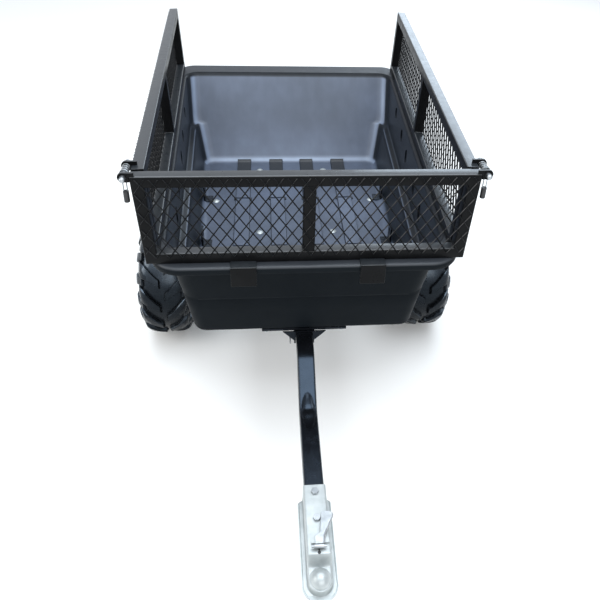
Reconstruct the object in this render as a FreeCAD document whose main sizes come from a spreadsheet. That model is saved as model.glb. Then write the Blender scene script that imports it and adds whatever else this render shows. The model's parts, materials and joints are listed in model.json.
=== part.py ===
"""Two-wheel dump cart with a poly tub, removable mesh side rails and a ball coupler, level as hitched.

Row frame: millimetres, +X right, +Y to the rear, +Z up, origin on the ground under the middle of the
overall box. Bed stations are measured rearwards from the front rail's face, which lies at dims.bed_front.
"""
import FreeCAD, Part

import math
import os

from FreeCAD import Matrix, Placement, Rotation, Vector

DRIVING = {
    # overall layout
    "bed_front": -420.0, "rim_top": 780.0, "floor_top": 454.0, "tub_rear": 1495.0, "taper": 0.043,
    # wheels and axle
    "tyre_radius": 228.0, "tyre_width": 195.0, "track_half": 490.0, "axle_station": 690.0,
    "shaft_radius": 12.7, "beam_side": 44.0, "beam_half": 372.0, "beam_wall": 3.0, "beam_end": 5.0,
    "hub_inner": 430.0, "hub_outer": 550.0, "rim_radius": 101.0, "lug_circle": 50.8, "bearing_radius": 26.0,
    "strut_radius": 10.0, "riser_thick": 6.0,
    # drawbar
    "bar_side": 50.8, "bar_wall": 4.0, "bar_low": 325.0, "bar_high": 410.0, "bar_rear": 780.0,
    "bend_rear": 25.0, "bend_front": -125.0, "bar_nose": -500.0, "bend_radius": 90.0,
    # dump pivot and its lock pin
    "pivot_station": 780.0, "pivot_height": 362.0, "pivot_radius": 10.0, "pivot_half": 132.5,
    "pivot_tube_radius": 19.0, "lock_station": 112.0, "lock_radius": 7.9,
    # coupler
    "ball_station": -612.0, "ball_height": 318.0, "ball_socket": 24.2, "coupler_rear": -385.0,
    "skirt_half": 43.0, "stamping": 4.0, "coupler_pin": 3.0,
    # tub shell
    "wall": 6.0, "rim_half": 417.0, "rim_lip": 22.0, "rim_ahead": 25.0, "mouth_front": 68.0,
    "mouth_rear": 1400.0, "floor_front": 106.0, "floor_rear": 1190.0, "step_height": 600.0,
    "mouth_half": 383.0, "shelf_half": 377.0, "ledge_half": 352.0, "floor_half": 323.0,
    "rib_width": 58.0, "rib_height": 7.0, "rim_corner_front": 85.0, "rim_corner_rear": 65.0,
    # frame under the tub
    "runner_side": 38.0, "runner_wall": 3.0, "runner_centre": 136.0, "flat_thick": 8.0,
    "runner_front": 175.0, "runner_long": 985.0, "ear_thick": 6.0, "ear_radius": 24.0, "bolt_hole": 5.1,
    "saddle_low": 392.0, "saddle_front": 94.0, "slot_play": 2.4,
    "cheek_centre": 34.0, "cheek_thick": 6.0, "cheek_long": 62.0,
    # tie-down brackets on the floor
    "tie_foot": 34.0, "tie_long": 44.0, "tie_high": 66.0, "tie_thick": 6.0,
    "tie_eye": 9.0, "tie_eye_up": 46.0,
    # side rails
    "rail_tube": 32.0, "rail_wall": 2.0, "rail_high": 260.0, "rail_long": 1400.0, "rail_gap": 6.0,
    "rail_foot": 424.0, "rail_head": 436.0, "mesh_thick": 2.5, "mesh_wide": 33.5, "mesh_tall": 48.0,
    "strand": 3.0, "strap_width": 68.0, "strap_thick": 5.0,
    # corner latches
    "latch_out": 449.5, "latch_up": 258.0, "latch_radius": 7.5, "latch_gap": 0.08, "ear_eye": 13.5,
    "coil_radius": 9.0, "coil_wire": 0.9, "coil_link": 0.6, "coil_from": 24.2, "coil_long": 33.6,
}
dim = dict(DRIVING)
doc = FreeCAD.newDocument("dump_cart")
sheet = doc.addObject("Spreadsheet::Sheet", "dims")
nodes = {}

ALONG_Y = Rotation(Vector(1, 0, 0), -90)
ALONG_X = Rotation(Vector(0, 1, 0), 90)
SIDE_VIEW = Rotation(Vector(1, 1, 1), 120)
FRONT_VIEW = Rotation(Vector(1, 0, 0), 90)
PLAN_VIEW = Rotation()


def fill_sheet():
    """Writes every driving dimension to its own aliased cell."""
    for row, (alias, size) in enumerate(DRIVING.items(), start=1):
        sheet.set(f"A{row}", alias)
        sheet.set(f"B{row}", str(size))
        sheet.setAlias(f"B{row}", alias)
    doc.recompute()


def bed(station):
    """Row Y of a bed station, as a number."""
    return dim["bed_front"] + station


def bind(thing, **rules):
    """Binds properties to expressions; a double underscore in a name stands for a dot."""
    for name, rule in rules.items():
        thing.setExpression(name.replace("__", "."), str(rule))
    return thing


def place(thing, at, turn=None):
    """Puts an object at a point given by three expressions, after an optional turn."""
    thing.Placement = Placement(Vector(), turn or Rotation())
    base = {f"Placement__Base__{axis}": rule for axis, rule in zip("xyz", at)}
    return bind(thing, **base)


def keep(label, thing):
    """Names an object as one sub-part of the cart."""
    thing.Label = label
    nodes[label] = thing
    return thing


def box(name, size, at):
    """A block from its lowest corner; sizes and corner are expressions."""
    solid = doc.addObject("Part::Box", name)
    bind(solid, Length=size[0], Width=size[1], Height=size[2])
    return place(solid, at)


def rod(name, radius, length, at, turn=None):
    """A round bar that starts at a point; along Z unless it is turned."""
    solid = doc.addObject("Part::Cylinder", name)
    bind(solid, Radius=radius, Height=length)
    return place(solid, at, turn)


def ball(name, radius, at):
    solid = doc.addObject("Part::Sphere", name)
    bind(solid, Radius=radius)
    return place(solid, at)


def hexagon(name, across_flats, length, at, turn=None):
    """A hexagonal head or nut."""
    solid = doc.addObject("Part::Prism", name)
    solid.Polygon = 6
    bind(solid, Circumradius=f"{across_flats} / sqrt(3)", Height=length)
    return place(solid, at, turn)


def fuse(name, *parts):
    joined = doc.addObject("Part::MultiFuse", name)
    joined.Shapes = list(parts)
    joined.Refine = True
    return joined


def group(name, *parts):
    """Separate solids that share one node."""
    bundle = doc.addObject("Part::Compound", name)
    bundle.Links = list(parts)
    return bundle


def cut(name, base, *tools):
    trimmed = doc.addObject("Part::Cut", name)
    trimmed.Base = base
    trimmed.Tool = tools[0] if len(tools) == 1 else fuse(name + "_tools", *tools)
    trimmed.Refine = True
    return trimmed


def mirrored(name, source):
    """The left-hand twin of a right-hand piece."""
    twin = doc.addObject("Part::Mirroring", name)
    twin.Source = source
    twin.Normal = Vector(1, 0, 0)
    return twin


def keep_pair(stem, right):
    """Names a right-hand piece and its mirror image as two sub-parts."""
    keep(f"{stem}_right", right)
    keep(f"{stem}_left", mirrored(f"{stem}_left", right))


def corner_arc(before, corner, after, radius):
    """Start, middle and end of the arc that rounds a corner between two straight runs."""
    back = (before - corner).normalize()
    ahead = (after - corner).normalize()
    half = back.getAngle(ahead) / 2
    reach = radius / math.tan(half)
    centre = corner + (back + ahead).normalize() * (radius / math.sin(half))
    middle = centre + (corner - centre).normalize() * radius
    return corner + back * reach, middle, corner + ahead * reach


def outline(points, radii=None, closed=True):
    """Line and arc geometry through corner points, each rounded by its own radius."""
    corners = [Vector(x, y, 0) for x, y in points]
    count = len(corners)
    radii = radii or [0] * count
    stops = []
    for i, corner in enumerate(corners):
        inside = closed or 0 < i < count - 1
        if inside and radii[i] > 0:
            stops.append(corner_arc(corners[i - 1], corner, corners[(i + 1) % count], radii[i]))
        else:
            stops.append((corner, None, corner))
    shapes = []
    for i, (start, middle, end) in enumerate(stops):
        if middle is not None:
            shapes.append(Part.Arc(start, middle, end))
        if closed or i < count - 1:
            shapes.append(Part.LineSegment(end, stops[(i + 1) % count][0]))
    return shapes


def sketch(name, geometry, at=(0, 0, 0), turn=PLAN_VIEW):
    drawing = doc.addObject("Sketcher::SketchObject", name)
    drawing.addGeometry(geometry, False)
    drawing.Placement = Placement(Vector(*at), turn)
    return drawing


def extruded(name, drawing, depth):
    """Pushes a sketch along its own normal by an expression."""
    solid = doc.addObject("Part::Extrusion", name)
    solid.Base = drawing
    solid.DirMode = "Normal"
    solid.Solid = True
    return bind(solid, LengthFwd=depth)


def plate(name, points, depth, at, turn, radii=None):
    """A flat plate of any outline."""
    return extruded(name, sketch(name + "_outline", outline(points, radii), at, turn), depth)


def turned(name, points, centre):
    """A ring turned about the wheel axis; points are (station along X, radius)."""
    solid = doc.addObject("Part::Revolution", name)
    solid.Source = sketch(name + "_section", outline(points))
    solid.Axis = Vector(1, 0, 0)
    solid.Angle = 360
    solid.Solid = True
    solid.Placement = Placement(Vector(*centre), Rotation())
    return solid


def swept(name, profile, spine):
    run = doc.addObject("Part::Sweep", name)
    run.Sections = [profile]
    run.Spine = (spine, [f"Edge{i + 1}" for i in range(len(spine.Geometry))])
    run.Solid = True
    run.Frenet = False
    return run


def square(half):
    return [(-half, -half), (half, -half), (half, half), (-half, half)]


AXLE_Y = "dims.bed_front + dims.axle_station"
PIVOT_Y = "dims.bed_front + dims.pivot_station"
LOCK_Y = "dims.bed_front + dims.lock_station"
BALL_Y = "dims.bed_front + dims.ball_station"


# ---------------------------------------------------------------- drawbar and axle

def make_drawbar():
    """Square tube: level under the tub, down a slope ahead of it, then level to the coupler."""
    stations = [dim["bar_nose"], dim["bend_front"], dim["bend_rear"], dim["bar_rear"]]
    heights = [dim["bar_low"], dim["bar_low"], dim["bar_high"], dim["bar_high"]]
    route = [(bed(station), height) for station, height in zip(stations, heights)]
    radii = [0, dim["bend_radius"], dim["bend_radius"], 0]
    spine = sketch("drawbar_route", outline(route, radii, closed=False), (0, 0, 0), SIDE_VIEW)
    start = (0, bed(dim["bar_nose"]), dim["bar_low"])
    half = dim["bar_side"] / 2
    skin = sketch("drawbar_skin", outline(square(half)), start, FRONT_VIEW)
    bore = sketch("drawbar_bore", outline(square(half - dim["bar_wall"])), start, FRONT_VIEW)
    lock = rod("drawbar_lock_hole", "dims.lock_radius + 0.1", 80, (-40, LOCK_Y, "dims.bar_high"), ALONG_X)
    holes = [lock]
    for i, station in enumerate(RISER_BOLTS):
        at = (-40, f"dims.bed_front + {station}", "dims.bar_high")
        holes.append(rod(f"drawbar_riser_hole_{i}", "dims.bolt_hole", 80, at, ALONG_X))
    for i, station in enumerate(COUPLER_BOLTS):
        at = (0, f"dims.bed_front + {station}", "dims.bar_low - 40")
        holes.append(rod(f"drawbar_coupler_hole_{i}", "dims.bolt_hole", 80, at))
    tube = cut("drawbar_tube", swept("drawbar_outer", skin, spine), swept("drawbar_inner", bore, spine))
    keep("drawbar", cut("drawbar", tube, *holes))
    cap_size = ("dims.bar_side", 3, "dims.bar_side")
    cap_at = ("-dims.bar_side / 2", "dims.bed_front + dims.bar_rear", "dims.bar_high - dims.bar_side / 2")
    keep("drawbar_end_cap", box("drawbar_end_cap", cap_size, cap_at))


RISER_BOLTS = (640.0, 730.0)
COUPLER_BOLTS = (-479.0, -406.0)


def make_risers():
    """Two plates that clamp the drawbar, carry the axle beam below it and the pivot tube behind it."""
    points = [(600, 434), (790, 434), (816, 372), (806, 336), (736, 196), (644, 196), (600, 330)]
    outer = [(bed(station), height) for station, height in points]
    blank = plate("riser_blank", outer, "dims.riser_thick", (dim["bar_side"] / 2, 0, 0), SIDE_VIEW,
                  [10, 10, 22, 22, 14, 14, 40])
    window = box("riser_window", (20, "dims.beam_side", "dims.beam_side"),
                 (20, AXLE_Y + " - dims.beam_side / 2", "dims.tyre_radius - dims.beam_side / 2"))
    tube_hole = rod("riser_tube_hole", "dims.pivot_tube_radius", 30,
                    (15, PIVOT_Y, "dims.pivot_height"), ALONG_X)
    holes = [window, tube_hole]
    for i, station in enumerate(RISER_BOLTS):
        at = (15, f"dims.bed_front + {station}", "dims.bar_high")
        holes.append(rod(f"riser_bolt_hole_{i}", "dims.bolt_hole", 30, at, ALONG_X))
    keep_pair("axle_riser", cut("axle_riser_right", blank, *holes))
    bolts = []
    grip = "dims.bar_side / 2 + dims.riser_thick"
    for i, station in enumerate(RISER_BOLTS):
        where = (f"dims.bed_front + {station}", "dims.bar_high")
        shank = rod(f"riser_bolt_{i}_shank", 5, f"2 * ({grip}) + 12", (f"-({grip}) - 12", *where), ALONG_X)
        head = hexagon(f"riser_bolt_{i}_head", 17, 7, (grip, *where), ALONG_X)
        nut = hexagon(f"riser_bolt_{i}_nut", 17, 9, (f"-({grip}) - 9", *where), ALONG_X)
        bolts.append(fuse(f"riser_bolt_{i}", shank, head, nut))
    keep("riser_bolts", group("riser_bolts", *bolts))


def make_axle():
    """Square beam with bored end plates, the live shaft through it, spacers, washers, nuts and cotters."""
    low = "dims.tyre_radius - dims.beam_side / 2"
    near = f"{AXLE_Y} - dims.beam_side / 2"
    skin = box("beam_skin", ("2 * dims.beam_half", "dims.beam_side", "dims.beam_side"),
               ("-dims.beam_half", near, low))
    inside = "dims.beam_side - 2 * dims.beam_wall"
    hollow = box("beam_hollow", ("2 * (dims.beam_half - dims.beam_end)", inside, inside),
                 ("-dims.beam_half + dims.beam_end", f"{near} + dims.beam_wall", f"{low} + dims.beam_wall"))
    shaft_end = "dims.hub_outer + 22"
    shaft_at = (f"-({shaft_end})", AXLE_Y, "dims.tyre_radius")
    shaft = rod("shaft_bar", "dims.shaft_radius", f"2 * ({shaft_end})", shaft_at, ALONG_X)
    shaft_space = rod("shaft_space", "dims.shaft_radius", f"2 * ({shaft_end})", shaft_at, ALONG_X)
    keep("axle_beam", cut("axle_beam", skin, hollow, shaft_space))
    pins, holes = [], []
    for side in (-1, 1):
        at = (f"{side} * (dims.hub_outer + 14)", AXLE_Y, "dims.tyre_radius - 24")
        pins.append(rod(f"cotter_{side + 1}", 2, 48, at))
        holes.append(rod(f"cotter_hole_{side + 1}", 2, 48, at))
    keep("axle_shaft", cut("axle_shaft", shaft, *holes))
    spacers, nuts = [], []
    for side in (-1, 1):
        start = "dims.beam_half" if side > 0 else "-dims.hub_inner + 0.3"
        sleeve = rod(f"spacer_skin_{side + 1}", 18, "dims.hub_inner - dims.beam_half - 0.3",
                     (start, AXLE_Y, "dims.tyre_radius"), ALONG_X)
        spacers.append(cut(f"spacer_{side + 1}", sleeve, shaft_space))
        start = "dims.hub_outer + 0.3" if side > 0 else "-dims.hub_outer - 3.3"
        washer = rod(f"washer_{side + 1}", 21, 3, (start, AXLE_Y, "dims.tyre_radius"), ALONG_X)
        start = "dims.hub_outer + 3.3" if side > 0 else "-dims.hub_outer - 18.3"
        nut = hexagon(f"axle_nut_{side + 1}", 36, 15, (start, AXLE_Y, "dims.tyre_radius"), ALONG_X)
        nuts.append(fuse(f"washer_and_nut_{side + 1}", washer, nut))
    keep("axle_spacers", group("axle_spacers", *spacers))
    keep("axle_nuts", cut("axle_nuts", group("nut_pair", *nuts), shaft_space, *holes))
    keep("axle_cotters", group("axle_cotters", *pins))


def make_struts():
    """Diagonal round braces from the drawbar's sides out to the axle beam."""
    root = Vector(18, bed(300), 405)
    foot = Vector(330, bed(700), 232)
    run = foot - root
    brace = bind(doc.addObject("Part::Cylinder", "strut_bar"), Radius="dims.strut_radius")
    brace.Height = run.Length
    brace.Placement = Placement(root, Rotation(Vector(0, 0, 1), run))
    beside_bar = box("strut_bar_space", ("dims.bar_side", 900, "dims.bar_side"),
                     ("-dims.bar_side / 2", "dims.bed_front", "dims.bar_high - dims.bar_side / 2"))
    ahead_of_beam = box("strut_beam_space", (800, 200, 200),
                        (-400, AXLE_Y + " - dims.beam_side / 2", "dims.tyre_radius - 100"))
    keep_pair("axle_strut", cut("axle_strut_right", brace, beside_bar, ahead_of_beam))


def make_pivot_tube():
    skin = rod("pivot_tube_skin", "dims.pivot_tube_radius", "2 * dims.pivot_half",
               ("-dims.pivot_half", PIVOT_Y, "dims.pivot_height"), ALONG_X)
    bore = rod("pivot_tube_bore", "dims.pivot_radius + 0.08", 400,
               (-200, PIVOT_Y, "dims.pivot_height"), ALONG_X)
    keep("pivot_tube", cut("pivot_tube", skin, bore))


# ---------------------------------------------------------------- coupler

def make_coupler():
    """Stamped ball coupler over the drawbar's nose, with its bolts, latch lever and ball clamp."""
    inner, outer = "dims.bar_side / 2", "dims.bar_side / 2 + dims.stamping"
    top = "dims.bar_low + dims.bar_side / 2"
    skirt_low, skirt_top = "dims.ball_height - 21", "dims.ball_height - 17"
    long = "dims.coupler_rear - dims.ball_station"
    channel_size = (f"2 * ({outer})", f"{long} - 20", f"{top} + dims.stamping - ({skirt_top})")
    channel = box("coupler_channel", channel_size, (f"-({outer})", f"{BALL_Y} + 20", skirt_top))
    dome = ball("coupler_dome", "dims.ball_socket + dims.stamping", (0, BALL_Y, "dims.ball_height"))
    collar = rod("coupler_collar", "dims.ball_socket + dims.stamping", 17, (0, BALL_Y, skirt_top))
    skirt = box("coupler_skirt", ("2 * dims.skirt_half", f"{long} - 9", "dims.stamping"),
                ("-dims.skirt_half", BALL_Y, skirt_low))
    nose = rod("coupler_nose", "dims.skirt_half", "dims.stamping", (0, BALL_Y, skirt_low))
    ears = []
    for side in (-1, 1):
        at = (f"{side} * 14 - 1.75", f"{LEVER_Y} - 8", f"{top} + dims.stamping")
        ears.append(box(f"lever_ear_{side + 1}", (3.5, 16, 16), at))
    blank = fuse("coupler_blank", channel, dome, collar, skirt, nose, *ears)
    throat_size = (f"2 * ({inner})", f"{long} - 14", 80)
    tools = [
        box("coupler_throat", throat_size, (f"-({inner})", f"{BALL_Y} + 14", f"{top} - 80")),
        ball("socket_ball", "dims.ball_socket", (0, BALL_Y, "dims.ball_height")),
        rod("socket_mouth", "dims.ball_socket", 60, (0, BALL_Y, "dims.ball_height - 60")),
        rod("lever_pin_hole", "dims.coupler_pin", 60, (-30, LEVER_Y, LEVER_Z), ALONG_X),
        rod("clamp_pin_hole", "dims.coupler_pin", 80, (-40, CLAMP_Y, CLAMP_Z), ALONG_X),
    ]
    for i, station in enumerate(COUPLER_BOLTS):
        at = (0, f"dims.bed_front + {station}", f"{top} - 20")
        tools.append(rod(f"coupler_bolt_hole_{i}", "dims.bolt_hole", 60, at))
    keep("coupler_body", cut("coupler_body", blank, *tools))
    bolts = []
    for i, station in enumerate(COUPLER_BOLTS):
        at = (0, f"dims.bed_front + {station}")
        shank = rod(f"coupler_shank_{i}", 5, 68, (*at, f"{top} - 64"))
        head = hexagon(f"coupler_head_{i}", 17, 7, (*at, f"{top} + dims.stamping"))
        nut = hexagon(f"coupler_nut_{i}", 17, 9, (*at, f"{top} - dims.bar_side - 9"))
        bolts.append(fuse(f"coupler_bolt_{i}", shank, head, nut))
    keep("coupler_bolts", group("coupler_bolts", *bolts))
    upper = rod("lever_pin", "dims.coupler_pin", 36, (-18, LEVER_Y, LEVER_Z), ALONG_X)
    lower = rod("clamp_pin", "dims.coupler_pin", 62, (-31, CLAMP_Y, CLAMP_Z), ALONG_X)
    keep("coupler_pins", group("coupler_pins", upper, lower))
    make_lever()
    make_clamp()


LEVER_Y = "dims.bed_front - 556"
LEVER_Z = "dims.bar_low + dims.bar_side / 2 + dims.stamping + 9"
CLAMP_Y = "dims.bed_front - 548"
CLAMP_Z = "dims.ball_height + 20"


def make_lever():
    """Thumb lever that lies rearwards on the coupler and swings up to free the ball."""
    at = (0, bed(-556), dim["bar_low"] + dim["bar_side"] / 2 + dim["stamping"] + 7.5)
    points = [(-10, 0), (10, 0), (16, 30), (44, 78), (40, 90), (14, 92), (-10, 30)]
    blade = plate("lever_blade", points, 3, at, PLAN_VIEW, [0, 0, 20, 6, 6, 6, 20])
    barrel = rod("lever_barrel", 6, 23, (-11.5, LEVER_Y, LEVER_Z), ALONG_X)
    pin_hole = rod("lever_bore", "dims.coupler_pin + 0.08", 40, (-20, LEVER_Y, LEVER_Z), ALONG_X)
    lock_hole = rod("lever_lock_hole", 5, 20, (24, "dims.bed_front - 482", f"{LEVER_Z} - 10"))
    keep("coupler_lever", cut("coupler_lever", fuse("lever_whole", blade, barrel), pin_hole, lock_hole))


def make_clamp():
    """Jaw that hooks under the back of the hitch ball."""
    points = [(6, 8), (-6, 8), (-27, -18), (-33, -34), (-24, -36), (-6, -26), (6, -8)]
    at = (-9, bed(-548), dim["ball_height"] + 20)
    jaw = plate("clamp_jaw", points, 18, at, SIDE_VIEW, [4, 4, 6, 3, 3, 6, 4])
    bore = rod("clamp_bore", "dims.coupler_pin + 0.08", 60, (-30, CLAMP_Y, CLAMP_Z), ALONG_X)
    around_ball = ball("clamp_ball_space", "dims.ball_socket + 0.4", (0, BALL_Y, "dims.ball_height"))
    keep("ball_clamp", cut("ball_clamp", jaw, bore, around_ball))


# ---------------------------------------------------------------- wheels

def make_wheels():
    """Tyre, welded steel wheel, hub with flange, bearings, lug nuts, valve and dust cap on each side."""
    centre = (0, bed(dim["axle_station"]), dim["tyre_radius"])
    mid, wide, high = dim["track_half"], dim["tyre_width"] / 2, dim["tyre_radius"]
    seat = dim["rim_radius"]
    tyre = turned("tyre_right", [
        (mid - 84, seat), (mid - 87, seat + 12), (mid - wide, 160), (mid - wide + 2, 192),
        (mid - wide + 18, 219), (mid - 58, high), (mid + 58, high), (mid + wide - 18, 219),
        (mid + wide - 2, 192), (mid + wide, 160), (mid + 87, seat + 12), (mid + 84, seat),
        (mid + 74, seat), (mid + 78, 150), (mid + 72, 192), (mid, 200), (mid - 72, 192),
        (mid - 78, 150), (mid - 74, seat)], centre)
    keep_pair("tyre", tyre)
    disc = dim["hub_outer"] - 33
    wheel = turned("wheel_blank", [
        (mid - 90, seat + 12), (mid - 87, seat + 12), (mid - 84, seat), (mid - 50, seat),
        (mid - 44, seat - 14), (mid + 50, seat - 14), (mid + 56, seat), (mid + 84, seat),
        (mid + 87, seat + 12), (mid + 90, seat + 12), (mid + 87, seat - 3), (mid + 57, seat - 3),
        (mid + 52, seat - 17), (disc + 4, seat - 17), (disc + 16, 74), (disc + 3, 62), (disc + 3, 32),
        (disc, 32), (disc, 64), (disc + 11, 74), (disc, seat - 17),
        (mid - 46, seat - 17), (mid - 52, seat - 3), (mid - 87, seat - 3)], centre)
    hub = turned("hub_blank", [
        (430, 26), (430, 32), (508, 32), (disc - 8, 34), (disc - 8, 68), (disc, 68), (disc, 32),
        (550, 32), (550, 26), (535, 26), (535, 20), (445, 20), (445, 26)], centre)
    holes, lugs = [], []
    for i in range(4):
        angle = math.radians(45 + 90 * i)
        y = f"{AXLE_Y} + dims.lug_circle * {math.cos(angle):.6f}"
        z = f"dims.tyre_radius + dims.lug_circle * {math.sin(angle):.6f}"
        holes.append(rod(f"lug_hole_{i}", 6, 60, (disc - 30, y, z), ALONG_X))
        stud = rod(f"lug_stud_{i}", 6, 34, (disc - 12, y, z), ALONG_X)
        nut = hexagon(f"lug_hex_{i}", 19, 14, (disc + 3, y, z), ALONG_X)
        lugs.append(fuse(f"lug_{i}", stud, nut))
    valve_at = (mid + 38, AXLE_Y, f"dims.tyre_radius - {seat - 26}")
    valve_hole = rod("valve_hole", 5, 40, (mid + 30, AXLE_Y, f"dims.tyre_radius - {seat - 26}"), ALONG_X)
    keep_pair("wheel", cut("wheel_right", wheel, *holes, valve_hole))
    keep_pair("hub", cut("hub_right", hub, *holes))
    keep_pair("lug_nuts", group("lug_nuts_right", *lugs))
    keep_pair("valve_stem", rod("valve_stem_right", 5, 36, valve_at, ALONG_X))
    races = []
    for i, start in enumerate((dim["hub_inner"], dim["hub_outer"] - 15)):
        ring = [(start, dim["shaft_radius"] + 0.05), (start, dim["bearing_radius"]),
                (start + 15, dim["bearing_radius"]), (start + 15, dim["shaft_radius"] + 0.05)]
        races.append(turned(f"race_{i}", ring, centre))
    keep_pair("bearings", group("bearings_right", *races))
    cap = [(550, 26), (550, 32), (576, 31), (583, 24), (583, 0),
           (580, 0), (580, 22), (574, 28), (553, 28), (553, 26)]
    keep_pair("dust_cap", turned("dust_cap_right", cap, centre))


# ---------------------------------------------------------------- tub

FLOOR_BOLTS = ((308.0, 857.0), (136.0, 630.0), (116.0, 121.0), (136.0, 1110.0))
CROSS_BARS = (("front", 130, 104, 205), ("middle", 170, 605, 655), ("axle", 335, 832, 882),
              ("rear", 170, 1085, 1135))


def section(name, height, half, front, rear, radii, grow=0.0):
    """Tapered, rounded outline of the tub at one height, grown outwards by an offset."""
    near, far = front - grow, rear + grow
    half_near = half + dim["taper"] * near + grow
    half_far = half + dim["taper"] * far + grow
    points = [(-half_near, bed(near)), (half_near, bed(near)), (half_far, bed(far)), (-half_far, bed(far))]
    rounds = [radii[0] + grow, radii[0] + grow, radii[1] + grow, radii[1] + grow]
    return sketch(name, outline(points, rounds), (0, 0, height))


def loft(name, *sections):
    body = doc.addObject("Part::Loft", name)
    body.Sections = list(sections)
    body.Solid = True
    body.Ruled = True
    return body


def tub_levels():
    """Height, half width at station zero, front and rear station, and corner radii of the inside."""
    slope = (dim["mouth_rear"] - dim["floor_rear"]) / (dim["rim_top"] - dim["floor_top"])
    rise = (dim["mouth_front"] - dim["floor_front"]) / (dim["rim_top"] - dim["floor_top"])
    levels = []
    for height, half, radii in (
        (dim["floor_top"], dim["floor_half"], (34, 26)),
        (dim["step_height"] - 4, dim["ledge_half"], (44, 30)),
        (dim["step_height"] + 4, dim["shelf_half"], (50, 34)),
        (dim["rim_top"], dim["mouth_half"], (58, 40)),
    ):
        up = height - dim["floor_top"]
        levels.append((height, half, dim["floor_front"] + rise * up, dim["floor_rear"] + slope * up, radii))
    return levels


def tub_body(name, grow, drop):
    """The stepped inside of the tub, or its outside when it is grown by the wall."""
    levels = tub_levels()
    parts = []
    for i, (lower, upper) in enumerate(zip(levels, levels[1:])):
        low = section(f"{name}_{i}_low", lower[0] - (drop if i == 0 else 0), *lower[1:], grow)
        high = section(f"{name}_{i}_high", upper[0], *upper[1:], grow)
        parts.append(loft(f"{name}_{i}", low, high))
    return fuse(name, *parts)


def make_tub():
    """Single-skin poly tub: stepped sides, sloped ends, a wide rim with a turned-down lip, a ribbed floor."""
    wall = dim["wall"]
    lip_low = dim["rim_top"] - dim["rim_lip"]
    plan = (dim["rim_half"], -dim["rim_ahead"], dim["tub_rear"],
            (dim["rim_corner_front"], dim["rim_corner_rear"]))
    rim = section("rim_outline", dim["rim_top"] - wall, *plan)
    lip = section("lip_outline", lip_low, *plan)
    gap = section("lip_inside", lip_low, *plan, -5)
    flange = extruded("rim_flange", rim, "dims.wall")
    lip_block = extruded("lip_block", lip, "dims.rim_lip - 1")
    skirt = cut("rim_skirt", lip_block, extruded("lip_void", gap, "dims.rim_lip"))
    shell = fuse("tub_skin", tub_body("tub_outside", wall, wall), flange, skirt)
    hollow = tub_body("tub_inside", 0, 0)
    ribs = []
    for column in (-203, -66, 66, 203):
        for start, end in ((540, 862), (874, 1196)):
            at = (f"{column} - dims.rib_width / 2", f"dims.bed_front + {start}", "dims.floor_top - 1")
            size = ("dims.rib_width", end - start, "dims.rib_height + 1")
            ribs.append(box(f"rib_{column + 300}_{start}", size, at))
    holes = []
    for i, (x, station) in enumerate(FLOOR_BOLTS):
        for side in (-1, 1):
            at = (side * x, f"dims.bed_front + {station}", "dims.floor_top - 20")
            holes.append(rod(f"floor_hole_{i}_{side + 1}", "dims.bolt_hole", 40, at))
    open_shell = cut("tub_open", shell, hollow)
    keep("tub_shell", cut("tub_shell", fuse("tub_ribbed", open_shell, *ribs), *holes))


def make_underframe():
    """Runners with pivot ears, flat cross bars, the front saddle with its pad, and the floor bolts."""
    low = "dims.floor_top - dims.wall - dims.flat_thick - dims.runner_side"
    flat_low = "dims.floor_top - dims.wall - dims.flat_thick"
    near_face = "dims.runner_centre - dims.runner_side / 2"
    skin = box("runner_skin", ("dims.runner_side", "dims.runner_long", "dims.runner_side"),
               (near_face, "dims.bed_front + dims.runner_front", low))
    inside = "dims.runner_side - 2 * dims.runner_wall"
    bore_at = (f"{near_face} + dims.runner_wall", "dims.bed_front + dims.runner_front - 10",
               f"{low} + dims.runner_wall")
    bore = box("runner_bore", (inside, "dims.runner_long + 20", inside), bore_at)
    tube = cut("runner_tube", skin, bore)
    ear_x = "dims.runner_centre - dims.ear_thick / 2"
    ear_up = box("ear_block", ("dims.ear_thick", "2 * dims.ear_radius", f"{low} - dims.pivot_height"),
                 (ear_x, f"{PIVOT_Y} - dims.ear_radius", "dims.pivot_height"))
    ear_round = rod("ear_round", "dims.ear_radius", "dims.ear_thick",
                    (ear_x, PIVOT_Y, "dims.pivot_height"), ALONG_X)
    ear_hole = rod("ear_hole", "dims.pivot_radius", 40,
                   ("dims.runner_centre - 20", PIVOT_Y, "dims.pivot_height"), ALONG_X)
    holes = [ear_hole]
    for i, (x, station) in enumerate(FLOOR_BOLTS):
        if x == dim["runner_centre"]:
            at = (x, f"dims.bed_front + {station}", f"{low} - 10")
            holes.append(rod(f"runner_hole_{i}", "dims.bolt_hole", 80, at))
    keep_pair("runner", cut("runner_right", fuse("runner_whole", tube, ear_up, ear_round), *holes))
    flats = []
    for name, half, near, far in CROSS_BARS:
        flat = box(f"{name}_flat", (2 * half, far - near, "dims.flat_thick"),
                   (-half, f"dims.bed_front + {near}", flat_low))
        bores = []
        for i, (x, station) in enumerate(FLOOR_BOLTS):
            if near < station < far:
                for side in (-1, 1):
                    at = (side * x, f"dims.bed_front + {station}", f"{flat_low} - 5")
                    bores.append(rod(f"{name}_bore_{i}_{side + 1}", "dims.bolt_hole", 30, at))
        flats.append(cut(f"cross_bar_{name}", flat, *bores))
    keep("cross_bars", group("cross_bars", *flats))
    make_saddle(flat_low)
    make_floor_bolts(low, flat_low)
    reach = "dims.runner_centre + dims.ear_thick / 2"
    at = (PIVOT_Y, "dims.pivot_height")
    shank = rod("pivot_shank", "dims.pivot_radius", f"2 * ({reach}) + 20", (f"-({reach}) - 20", *at), ALONG_X)
    head = hexagon("pivot_head", 30, 12, (reach, *at), ALONG_X)
    keep("pivot_bolt", fuse("pivot_bolt", shank, head))
    nut = hexagon("pivot_nut_blank", 30, 15, (f"-({reach}) - 15", *at), ALONG_X)
    keep("pivot_nut", cut("pivot_nut", nut, shank))


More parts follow.
